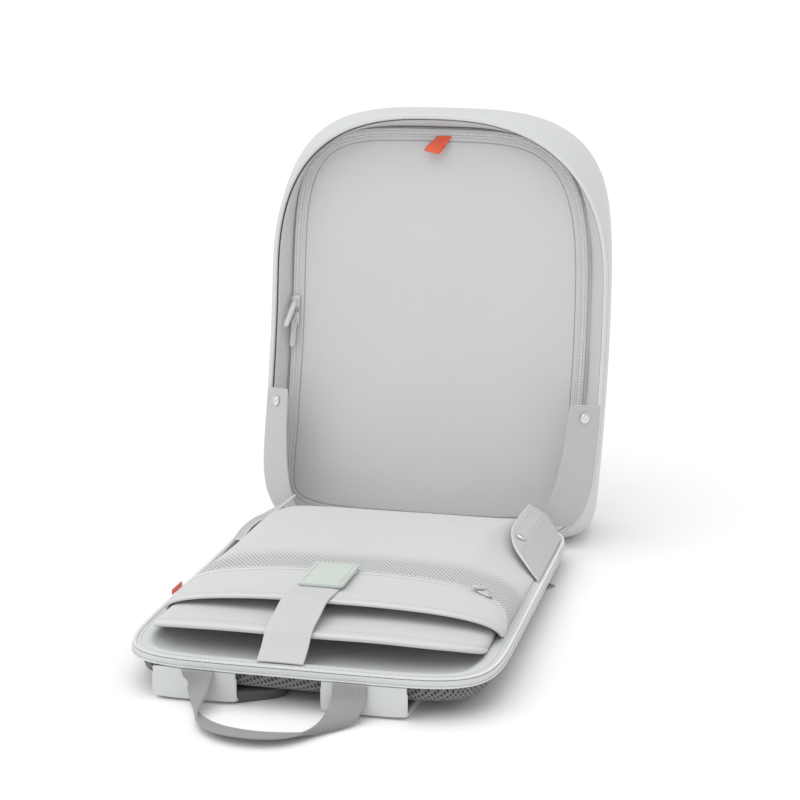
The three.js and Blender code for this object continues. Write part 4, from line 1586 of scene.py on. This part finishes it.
@dataclass
class FrontShell:
    """The moulded front shell with its zipped divider, flaps and trim."""

    width: float = 323.0
    rim_height: float = 402.0
    body_height: float = 416.5
    body_shift: float = 3.0
    depth: float = 100.0
    wall: float = 3.0
    tape_width: float = 4.5
    tape_depth: float = 5.4
    divider_side: float = 25.5
    divider_drop: float = 19.0
    divider_shift: float = -3.5
    divider_depth: float = 22.0
    divider_crown: float = 5.0
    divider_power: float = 4.4
    zip_width: float = 7.0
    flap_foot: float = 24.0
    flap_length: float = 113.0
    flap_width: float = 32.0
    flap_thickness: float = 1.6
    flap_turn: float = 40.0
    loop_drop: float = 6.0
    sections: tuple[Section, ...] = (
        Section(0.0, 1.0, 0.0, 2.55, 4.8),
        Section(0.1, 1.0, 0.3, 2.7, 6.0),
        Section(0.3, 0.988, 0.62, 3.0, 9.0),
        Section(0.6, 0.957, 0.86, 3.2, 10.0),
        Section(0.84, 0.935, 1.0, 3.3, 10.0),
    )

    def __post_init__(self) -> None:
        """Works out the rim's and the divider's outlines."""
        self.rim_end = self.tape_depth / 2
        self.rim = self.outline(self.sections[0], 0.0)[1]
        self.divider = Outline(
            self.width / 2 - self.divider_side,
            STANCE.floor_up(self.divider_depth) + self.wall * 5,
            self.rim_height * 0.18,
            self.rim_height * 0.5,
            self.rim_height - self.divider_drop,
            5,
            self.divider_power,
        ).points() + [self.divider_shift, 0]

    def outline(self, row: Section, start: float) -> tuple[float, Array]:
        """A section's depth and its outline.

        Args:
            row: the section.
            start: the depth at which the sections start.

        Returns:
            The depth behind the rim, and the points across and up.
        """
        at = start + row.depth * (self.depth - start)
        shape = Outline(
            row.half * self.width / 2,
            STANCE.floor_up(at),
            blend(0.333, 0.26, row.gain) * self.rim_height + STANCE.floor_up(at) * 0.5,
            blend(0.597, 0.69, row.gain) * self.rim_height,
            blend(self.rim_height, self.body_height, row.gain),
            row.low_power,
            row.top_power,
        )
        return at, shape.points() + [self.body_shift * row.gain**2, 0]

    def ring(self, points: Array, depth: float | Array, lift: float = 0.0) -> Array:
        """An outline at a depth, kept above the floor, in the shell's frame.

        Args:
            points: the outline's points, across and up.
            depth: how far behind the rim.
            lift: the least height above the floor.

        Returns:
            Points across, behind the rim and up.
        """
        deep = np.broadcast_to(depth, len(points))
        up = np.maximum(points[:, 1], STANCE.floor_up(deep) + lift)
        return np.column_stack([points[:, 0], deep, up])

    def out(self, count: int) -> Array:
        """The direction out of the shell's mouth, repeated."""
        return facing(Half.SHELL, (0.0, -1.0, 0.0), count)

    def build(self) -> None:
        """Builds the shell, its rim, the divider and the trim."""
        self.build_skin()
        self.build_rim()
        self.build_collar()
        self.build_divider()
        self.build_zip()
        self.build_sliders()
        self.build_loop()
        for side, word in ((1, "right"), (-1, "left")):
            self.build_flap(side, word)

    def skin(self, distance: float) -> Array:
        """Rings of the shell's skin from its rim to the middle of its front.

        Args:
            distance: how far inside the shell's outside they lie.

        Returns:
            The rings, in the shell's frame.
        """
        rings = []
        for row in self.sections:
            at, points = self.outline(row, self.rim_end + GAP)
            rings.append(self.ring(inset(points, distance), at, distance * 0.9))
        sides = refine(np.stack(rings), 26)
        end = self.sections[-1].depth * self.depth
        deepest = self.depth - distance
        last = sides[-1]
        centre = np.array([0.0, 0.0, last[:, 2].mean()])
        front = []
        for share, way in ((0.02, 0.5), (0.05, 0.78), (0.1, 0.94), (0.18, 1.0), (0.5, 1.0), (0.96, 1.0)):
            ring = blend(last, centre, share)
            ring[:, 1] = blend(end, deepest, way)
            ring[:, 2] = np.maximum(ring[:, 2], STANCE.floor_up(ring[:, 1]) + distance * 0.9)
            front.append(ring)
        return np.vstack([sides, np.stack(front)])

    def build_skin(self) -> None:
        """The moulded outside and its inner wall."""
        outer, inner = self.skin(0.0), self.skin(self.wall)
        rings = STANCE.place(Half.SHELL, np.vstack([outer[::-1], inner]))
        piece = Piece("moulded_shell", SHELL_CLOTH).grid(rings, loop=True)
        piece.cap(rings[0]).cap(rings[-1]).build("front_shell")

    def build_rim(self) -> None:
        """The zip tape round the mouth, with its teeth."""
        middle = self.tape_width / 2
        around = np.linspace(0, 2 * math.pi, 14, endpoint=False)
        rings = []
        for angle in around:
            c, s = math.cos(angle), math.sin(angle)
            across = middle + middle * math.copysign(abs(c) ** 0.8, c)
            deep = self.rim_end * math.copysign(abs(s) ** 0.8, s)
            rings.append(self.ring(inset(self.rim, across), deep))
        placed = STANCE.place(Half.SHELL, np.stack(rings))
        Piece("shell_rim_tape", BINDING).grid(placed, loop=True, closed=True).build("shell_zip_tape")
        line = self.ring(inset(self.rim, self.tape_width * 0.72), -self.rim_end * 0.92, 0.5)
        path = STANCE.place(Half.SHELL, line)
        bead = Bead(2.2, 1.05, 1.2)
        teeth = Piece("shell_rim_teeth", COIL)
        teeth.beads(bead, path, self.out(len(path)), 1.85, True, across=True).build()

    def build_collar(self) -> None:
        """The sloping cloth frame between the rim and the divider's zip."""
        start, end = self.rim_end + GAP, self.divider_depth

        def sheet(back: float, spread: float) -> Array:
            """The frame's surface, moved back and spread out."""
            outer = inset(self.rim, self.tape_width + GAP * 2 - spread)
            inner = inset(self.divider, -(self.zip_width + GAP * 2) - spread)
            rows = []
            for share in np.concatenate([np.linspace(0, 0.8, 10), [0.86, 0.92, 0.97, 1.0]]):
                flat = blend(outer, inner, share)
                high = smooth(flat[:, 1], 300, 385)
                valley = smooth(share, 0.0, 0.85) * (1 - smooth(share, 0.88, 1.0))
                uneven = 1 + 0.3 * ripple(flat[:, 0], flat[:, 1], 60, 21)
                deep = blend(start, end, share) + back + (7.0 + 5.0 * high) * valley * uneven
                rows.append(self.ring(flat, deep, self.wall + GAP))
            return STANCE.place(Half.SHELL, np.stack(rows))

        piece = Piece("shell_gusset", GUSSET)
        skin = np.vstack([sheet(0.0, 0.0), sheet(1.6, 1.0)[::-1]])
        piece.grid(skin, loop=True, closed=True).build("shell_collar")

    def build_divider(self) -> None:
        """The divider: a flat border, a sewn groove and a softly crowned panel."""
        centre = np.array([self.divider_shift, (self.rim_height - self.divider_drop) * 0.52])
        border = [
            (0.0, 0.0), (0.4, -0.25), (2.4, -0.3), (3.7, -0.2), (3.9, 1.3), (4.6, 1.3), (4.8, -0.1), (7.0, -0.5),
        ]
        front = [
            self.ring(inset(self.divider, distance), self.divider_depth + deep, self.wall)
            for distance, deep in border
        ]
        inner = inset(self.divider, 7.0)
        for share in np.linspace(0.03, 0.97, 26):
            points = blend(inner, centre, share)
            crown = self.divider_crown * (1 - (1 - share) ** 2)
            wave = 1.3 * ripple(points[:, 0], points[:, 1], 210, 31) * smooth(share, 0.02, 0.3)
            front.append(self.ring(points, self.divider_depth - 0.5 - crown + wave, self.wall))
        shown = np.stack(front)
        back = shown + np.array([0.0, 1.6, 0.0])
        rings = STANCE.place(Half.SHELL, np.vstack([shown[::-1], back]))
        piece = Piece("divider_cloth_panel", DIVIDER).grid(rings, loop=True)
        piece.cap(rings[0]).cap(rings[-1]).build("divider_panel")
        row = self.ring(inset(self.divider, 2.6), self.divider_depth - 0.35, self.wall)
        path = STANCE.place(Half.SHELL, row)
        stitches("divider_stitches", path, self.out(len(path)), 3.2, True)

    def zip_row(self, distance: float, deep: float) -> Array:
        """A line along the divider's zip, from corner to corner."""
        line = self.ring(inset(self.divider, -distance), deep, self.wall)
        return STANCE.place(Half.SHELL, line[ZIP_START : len(line) - ZIP_START + 1])

    def build_zip(self) -> None:
        """The divider's zip: two tapes, the coil and the seams."""
        top = self.divider_depth - GAP
        rows = [
            (0.4, 0.3), (0.8, 0.0), (1.5, -0.1), (1.8, 0.9), (2.3, 0.9), (2.6, 0.2), (4.2, 0.2), (4.5, 0.9),
            (5.0, 0.9), (5.3, -0.1), (6.5, 0.0), (7.0, 0.3),
        ]
        front = np.stack([self.zip_row(d, top + deep) for d, deep in rows])
        back = np.stack([self.zip_row(d, top + 1.6) for d, _ in rows])
        Piece("divider_zip_cloth", TAPE).between(front, back).build("divider_zip")
        coil = Piece("divider_zip_coil", COIL)
        path = self.zip_row(3.4, top - 0.25)
        out = self.out(len(path))
        for side in (-0.75, 0.75):
            coil.beads(Bead(1.9, 1.2, 1.3), path, out, 2.3, across=True, shift=side)
        coil.build()
        for distance, word in ((1.1, "inner"), (6.1, "outer")):
            row = self.zip_row(distance, top - 0.25)
            stitches(f"divider_zip_{word}_stitches", row, self.out(len(row)), 2.6)
        self.build_foot(top)

    def build_foot(self, top: float) -> None:
        """The plain cloth that closes the divider's foot between the zip's ends."""
        first = ZIP_START + 1
        rows = []
        for distance, deep in ((0.3, 0.6), (2.5, 0.2), (5.0, 0.2), (7.6, 0.8)):
            line = np.roll(inset(self.divider, -distance), first, axis=0)[: first * 2 + 1]
            rows.append(self.ring(line, top + deep, self.wall * 0.5))
        front = STANCE.place(Half.SHELL, np.stack(rows))
        back = STANCE.place(Half.SHELL, np.stack(rows) + [0, 1.2, 0])
        Piece("divider_foot_cloth", LINING).between(front, back).build()

    def build_sliders(self) -> None:
        """The two sliders on the divider's zip with their bar pulls."""
        x = self.divider_shift - (self.width - self.divider_side * 2 + self.zip_width) / 2
        deep = self.divider_depth - GAP - 0.8 - 0.6
        for word, height, swing, lean in (("upper", 0.548, 12.0, 24.0), ("lower", 0.508, 2.0, 2.0)):
            up = height * self.rim_height
            base = np.array([x + float(STANCE.sway(np.array(up))), deep, up])

            def body(local: Array) -> Array:
                """Points across, up and out of the slider."""
                moved = np.stack([local[..., 0], -local[..., 2], local[..., 1]], -1)
                return STANCE.place(Half.SHELL, base + moved, swaying=False)

            tilted = Matrix.Rotation(-math.radians(lean), 3, "X")
            spin = np.array(tilted @ Matrix.Rotation(math.radians(swing), 3, "Y"))

            def hanging(local: Array) -> Array:
                """Points across, down and out of the pull."""
                moved = np.stack([local[..., 0], -local[..., 2], local[..., 1] - 14.0], -1)
                return STANCE.place(Half.SHELL, base + moved @ spin.T + [0, -3.4, 0], swaying=False)

            piece = Piece(f"divider_slider_body_{word}", SLIDER_METAL)
            steps = [(0.6, -0.4), (0.0, 0.2), (0.0, 2.2), (0.6, 2.8), (1.8, 3.0)]
            medallion(piece, body, rounded(8.0, 12.0, 2.4), steps)
            medallion(piece, body, rounded(2.6, 6.5, 1.2), [(0.0, 2.8), (0.0, 3.9), (0.5, 4.3)])
            piece.build(f"divider_slider_{word}")
            rim = [(0.3, 0.0), (0.0, 0.4), (0.0, 1.3), (0.4, 1.8), (1.0, 1.9), (1.4, 1.5), (1.9, 1.4)]
            piece = Piece(f"divider_pull_bar_{word}", SLIDER_METAL)
            medallion(piece, hanging, rounded(5.5, 28.0, 2.6, 8), rim).build(f"divider_pull_{word}")

    def build_loop(self) -> None:
        """The folded red ribbon at the top of the divider's zip."""
        top = self.rim_height - self.divider_drop + self.zip_width
        near = self.divider_depth - GAP * 2 - 0.8
        route = np.array(
            [[0.0, -0.5], [-1.6, -4.0], [-6.5, -9.0], [-10.0, -14.0], [-10.4, -16.2], [-8.6, -16.6],
             [-5.0, -12.6], [-1.2, -9.6], [-0.2, -8.4]]
        )
        path = refine(route + [near, top - self.loop_drop], 40)
        across = np.linspace(-0.5, 0.5, 7)[None] * np.linspace(14.0, 12.6, len(path))[:, None]
        slant = 6.0 - (path[0, 1] - path[:, 1]) * 0.75
        twist = 0.22 * across * smooth(path[0, 1] - path[:, 1], 2.0, 12.0)[:, None]
        grid = np.stack(
            [across + slant[:, None], path[:, :1] + 0 * across, path[:, 1:2] - twist],
            -1,
        )
        Piece("red_ribbon_loop", RED).slab(STANCE.place(Half.SHELL, grid), 0.7).build("red_pull_loop")

    def rim_half(self, up: Array) -> Array:
        """Half the rim's width at a height."""
        right = self.rim[: len(self.rim) // 2]
        order = np.argsort(right[:, 1])
        return np.interp(up, right[order, 1], right[order, 0])

    def flap_point(self, side: int, across: Array, up: Array, proud: float) -> Array:
        """Points on a flap, by the distance from its seam and the height.

        Args:
            side: 1 on the right and -1 on the left.
            across: distances from the seam.
            up: heights up the shell.
            proud: how far the points stand off the cloth's middle.

        Returns:
            The points, in the shell's frame.
        """
        turn = math.radians(self.flap_turn)
        seam = self.rim_half(up) - self.tape_width / 2
        x = side * (seam - across * math.cos(turn) + proud * math.sin(turn))
        start = -self.rim_end - GAP - self.flap_thickness / 2
        deep = start - across * math.sin(turn) - proud * math.cos(turn)
        return np.stack([x, deep, up + 0 * x], -1)

    def build_flap(self, side: int, word: str) -> None:
        """A cloth flap beside the divider, with its stitches and snap.

        Args:
            side: 1 on the right and -1 on the left.
            word: the side's name.
        """
        along = np.linspace(0, 1, 26)
        wide = np.interp(along, [0, 0.18, 0.4, 0.7, 0.95, 1], [1.2, 1.25, 1.17, 1.05, 1, 0.99])
        across = np.array([0, 0.15, 0.3, 0.5, 0.7, 0.85, 0.92, 1.0])
        up = (self.flap_foot + along * self.flap_length)[:, None] + 0 * across[None]
        reach = wide[:, None] * across[None] * self.flap_width
        grid = self.flap_point(side, reach, up, 0.0)
        grid[..., 1] += 0.8 * ripple(reach, up, 50, 41 + side) * across[None]
        placed = STANCE.place(Half.SHELL, grid)
        made = Piece(f"flap_cloth_{word}", FLAP).slab(placed, self.flap_thickness).build(f"shell_flap_{word}")
        out = normals_of(placed)
        if out[10, 4, 1] > 0:
            out = -out
        lift = (self.flap_thickness / 2 + 0.1) * MM
        stitches(f"flap_side_stitches_{word}", placed[:, -3] + out[:, -3] * lift, out[:, -3], 3.2)
        stitches(f"flap_top_stitches_{word}", placed[-3] + out[-3] * lift, out[-3], 3.2)
        height = self.flap_foot + self.flap_length * 0.9
        proud = self.flap_thickness / 2 + GAP
        middle = self.flap_point(side, np.array(self.flap_width * 0.5), np.array(height), proud)
        turn = math.radians(self.flap_turn)
        axes = np.array([
            [math.cos(turn), side * math.sin(turn), 0.0], [0.0, 0.0, 1.0],
            [side * math.sin(turn), -math.cos(turn), 0.0],
        ])

        def frame(local: Array) -> Array:
            """Points across, up and out of the flap."""
            return STANCE.place(Half.SHELL, middle + local @ axes)

        snap_button(Piece(f"flap_snap_{word}", SNAP_METAL), frame).build(f"shell_snap_{word}")


@dataclass
class Straps:
    """The shoulder straps, their webbing, the carry handle and the hinge's cloth."""

    back: BackHalf
    width: float = 66.0
    length: float = 250.0
    top: float = 6.0
    left_x: float = -81.0
    right_x: float = 52.0
    end_x: float = 98.0
    webbing_width: float = 25.0
    webbing_thickness: float = 1.6
    handle_width: float = 25.0
    handle_thickness: float = 2.4
    handle_reach: float = 56.0
    handle_lift: float = 7.0
    handle_left: float = -77.0
    handle_right: float = 42.0

    @property
    def front(self) -> float:
        """How far from the hinge the straps' front is."""
        return self.back.length - self.back.pad_inset + GAP + self.top

    def height(self, s: float, rise: float) -> float:
        """The height above the floor of a point on the back half."""
        point = STANCE.place(Half.BACK, np.array([0.0, s, rise]))
        return float(point[2]) / MM

    def rows(self, x: float) -> Array:
        """The strap's course: its place across, then its outer and inner points.

        Args:
            x: where its front lies, across the back half.

        Returns:
            A row for each step along the strap: x, then distance and height twice.
        """
        pad_top = -self.back.band - GAP
        pad_bottom = pad_top - self.back.pad_depth
        inner = self.front - self.top
        top, under = self.height(self.front, pad_top), self.height(inner, pad_bottom) - GAP
        rows = [
            [x, self.front, top, inner, top],
            [x, self.front, blend(top, self.top, 0.5), inner, blend(top, under, 0.5)],
        ]
        for step in range(5):
            angle = step / 4 * math.pi / 2
            rows.append([
                x,
                self.front - self.top + self.top * math.cos(angle),
                self.top - self.top * math.sin(angle),
                inner - step * 0.4,
                blend(under + 1, under, step / 4),
            ])
        for share in (0.12, 0.35, 0.65, 1.0):
            s = self.front - self.top - share * self.length
            splay = blend(x, math.copysign(self.end_x, x), share**1.5)
            rows.append([splay, s, 0.0, s, self.height(s, pad_bottom) - GAP])
        return refine(np.array(rows), 54)

    def build(self) -> None:
        """Builds both straps, the handle and the hinge's cloth."""
        for x, word in ((self.left_x, "left"), (self.right_x, "right")):
            self.build_layer(x, word, "cover", SHELL_CLOTH, 0.0, 0.58)
            self.build_layer(x, word, "mesh", STRAP_MESH, 0.61, 1.0)
            self.build_webbing(x, word)
        self.build_handle()
        self.build_hinge()

    def build_layer(self, x: float, word: str, kind: str, finish: Finish, low: float, high: float) -> None:
        """One layer of a strap, between two shares of its thickness.

        Args:
            x: where the strap's front lies.
            word: the side's name.
            kind: cover or mesh.
            finish: the layer's finish.
            low: the share at which it starts, from the outside.
            high: the share at which it ends.
        """
        around = 36
        angle = np.linspace(0, 2 * math.pi, around, endpoint=False)
        c, s = np.cos(angle), np.sin(angle)
        across = np.sign(c) * np.abs(c) ** 0.45 * self.width / 2
        level = (low + high) / 2 + np.sign(s) * np.abs(s) ** 0.55 * (high - low) / 2
        rows = self.rows(x)
        # On the left strap the mesh layer is widened into a dark tongue beside the cover: partly the strap's
        # inner side, partly painted shadow under the strap.
        mesh_and_shadow_flare = self.mesh_and_shadow_flare(rows) * ((kind, word) == ("mesh", "left"))
        outer_side = (across[None] > self.width * 0.3) * (mesh_and_shadow_flare[:, None] > 1)
        level = np.where(outer_side, level[None] - low * (level[None] < 0.8), level[None])
        out = blend(rows[:, None, 1:3], rows[:, None, 3:5], level[..., None])
        spread = across[None] + mesh_and_shadow_flare[:, None] * smooth(across, 0, self.width / 2)[None]
        grid = np.stack([rows[:, :1] + spread, -out[..., 0], np.maximum(out[..., 1], 0.02)], -1)
        placed = STANCE.place(Half.FLOOR, grid)
        piece = Piece(f"strap_{kind}_cloth_{word}", finish).grid(placed, loop=True)
        made = piece.cap(placed[0]).cap(placed[-1]).build(f"strap_{kind}_{word}")
        if kind == "cover":
            for side in (-1, 1):
                column = 0 if side > 0 else around // 2
                path = placed[1:, column].copy()
                path[:, 2] = np.maximum(path[:, 2], 0.9 * MM)
                turn = np.repeat(np.array([[side * 1.0, 0.0, 0.0]]), len(path), 0)
                name = f"strap_piping_{word}_{'right' if side > 0 else 'left'}"
                Piece(name, BINDING).tube(path, turn, (1.6, 1.2), False).build()

    def mesh_and_shadow_flare(self, rows: Array) -> Array:
        """How far the left strap's near-black mesh spreads out beside its cover, row by row: partly its inner
        side, partly a dark tongue painted in for the shadow under the strap.
        """
        back = self.front - rows[:, 1]
        return 32.0 * smooth(back, 3.0, 30.0) * (1 - smooth(back, 55.0, 110.0))

    def build_webbing(self, x: float, word: str) -> None:
        """The webbing from a strap's end to the lower corner of the back half.

        Args:
            x: where the strap's front lies.
            word: the side's name.
        """
        side = math.copysign(1.0, x)
        start = self.front - self.top - self.length - GAP * 2
        corner = side * (self.back.width / 2 - self.webbing_width * 0.45)
        rows = []
        for share in (0.0, 0.3, 0.65, 1.0):
            middle = np.array([
                blend(side * self.end_x, corner, share**1.3),
                -blend(start, self.back.length * 0.2, share),
                self.webbing_thickness / 2,
            ])
            across = unit(np.array([1.0, -side * share * 0.7, 0.0])) * self.webbing_width
            rows.append([middle + across * t for t in np.linspace(-0.5, 0.5, 7)])
        grid = STANCE.place(Half.FLOOR, refine(np.array(rows), 40))
        piece = Piece(f"strap_webbing_cloth_{word}", WEBBING).slab(grid, self.webbing_thickness)
        piece.build(f"strap_webbing_{word}")

    def build_handle(self) -> None:
        """The carry handle: a webbing loop that has dropped to the floor."""
        start = self.front + GAP + self.handle_thickness / 2
        top = self.height(start, -self.back.band - GAP)
        middle = (self.handle_left + self.handle_right) / 2
        half = (self.handle_right - self.handle_left) / 2
        low = self.handle_thickness / 2 + GAP / 2
        course = (
            (1.0, 0.0, 1.0, 0, 0), (0.995, 0.05, 0.55, 34, 4), (0.95, 0.3, 0.2, 60, 24),
            (0.82, 0.6, 0.05, 72, 46), (0.55, 0.86, 0.0, 80, 66), (0.2, 0.99, 0.0, 87, 84),
        )
        rows = []
        for side in (-1, 1):
            part = []
            for across, reach, rise, left_turn, right_turn in course:
                point = np.array([
                    middle + side * across * half, -start - reach * self.handle_reach, blend(low, top, rise),
                ])
                angle = math.radians(left_turn if side < 0 else right_turn)
                wide = np.array([math.cos(angle), side * math.sin(angle), 0.0]) * self.handle_width
                wide = wide if side < 0 else -wide
                lift = np.array([0.0, 0.0, self.handle_lift * reach])
                part.append([point + wide * t + lift * (t + 0.5) for t in np.linspace(-0.5, 0.5, 9)])
            rows += part if side < 0 else part[::-1]
        grid = STANCE.place(Half.FLOOR, refine(np.array(rows), 90))
        Piece("handle_webbing", WEBBING).slab(grid, self.handle_thickness).build("carry_handle")

    def build_hinge(self) -> None:
        """The soft trough of cloth between the two halves."""
        thickness, gap_end = 1.6, STANCE.hinge_gap - FrontShell.tape_depth / 2 * 0.96
        start = GAP + thickness / 2
        height, band = STANCE.hinge_height, self.back.band
        rows = np.array([
            [start, height - band * 0.35], [start, height * 0.45],
            [blend(start, gap_end, 0.25), height * 0.16], [blend(start, gap_end, 0.6), thickness],
            [gap_end, thickness],
        ])
        path = refine(rows, 18)
        x = np.linspace(-1, 1, 60) * self.back.width / 2 * 0.86
        fold = 0.5 * ripple(x[None], path[:, 1:2] * 3, 40, 51)
        grid = np.stack([
            np.repeat(x[None], len(path), 0),
            path[:, :1] + np.clip(fold, -0.3, 1.0),
            np.maximum(path[:, 1:2] + 0 * x[None], thickness / 2 + 0.05),
        ], -1)
        placed = STANCE.place(Half.FLOOR, grid)
        Piece("hinge_cloth", LINING).slab(placed, thickness).build("hinge_panel")


@dataclass
class Studio:
    """The floor, the soft light and the camera."""

    eye: tuple[float, float, float] = (397.9, -1792.3, 610.7)
    azimuth: float = 12.96
    elevation: float = 14.37
    focal: float = 92.05
    room: float = 0.74
    overhead: float = 1.25
    softness: float = 75.0
    overhead_way: tuple[float, float, float] = (0.28, 0.22, -1.0)

    def build(self) -> None:
        """Builds everything that isn't part of the object."""
        self.build_camera()
        self.build_floor()
        self.build_light()

    def build_camera(self) -> None:
        """The camera at the photograph's viewing angle."""
        data = bpy.data.cameras.new("camera")
        data.lens = self.focal
        data.sensor_width = 36.0
        data.clip_end = 100.0
        camera = bpy.data.objects.new("camera", data)
        camera.location = Vector(STANCE.place(Half.FLOOR, np.array(self.eye)))
        camera.rotation_euler = (math.radians(90 - self.elevation), 0.0, math.radians(self.azimuth))
        bpy.context.scene.collection.objects.link(camera)
        bpy.context.scene.camera = camera

    def build_floor(self) -> None:
        """A plain pale floor."""
        mesh = bpy.data.meshes.new("floor")
        size = 12.0
        mesh.from_pydata(
            [(-size, -size, 0), (size, -size, 0), (size, size, 0), (-size, size, 0)], [], [(0, 1, 2, 3)]
        )
        floor = bpy.data.objects.new("floor", mesh)
        graph = Graph("floor_paint")
        graph.set(Base_Color=(0.97, 0.97, 0.97, 1.0), Roughness=0.9)
        mesh.materials.append(graph.material)
        bpy.context.scene.collection.objects.link(floor)

    def build_light(self) -> None:
        """A white room with a broad soft light overhead, a little from the left."""
        world = bpy.data.worlds.new("studio")
        bpy.context.scene.world = world
        world.use_nodes = True
        world.node_tree.nodes["Background"].inputs["Color"].default_value = (1.0, 1.0, 1.0, 1.0)
        world.node_tree.nodes["Background"].inputs["Strength"].default_value = self.room
        data = bpy.data.lights.new("overhead", "SUN")
        data.energy = self.overhead
        data.angle = math.radians(self.softness)
        lamp = bpy.data.objects.new("overhead", data)
        lamp.rotation_euler = Vector(self.overhead_way).to_track_quat("-Z", "Y").to_euler()
        bpy.context.scene.collection.objects.link(lamp)
        bpy.context.scene.view_settings.view_transform = "Standard"


def corners(bounds: Any) -> list[list[float]]:
    """A box as plain lists of numbers."""
    return [[float(value) for value in corner] for corner in bounds]


def main() -> None:
    """Builds the studio and every part of the backpack."""
    logging.basicConfig(level=logging.INFO, format="%(name)s: %(message)s")
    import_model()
    STANCE.settle()
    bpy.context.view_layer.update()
    Studio().build()
    back = BackHalf()
    for part in (back, Pockets(back), BackWings(back), FrontShell(), Straps(back)):
        part.build()
        LOG.info("built %s", type(part).__name__)


if __name__ == "__main__":
    main()
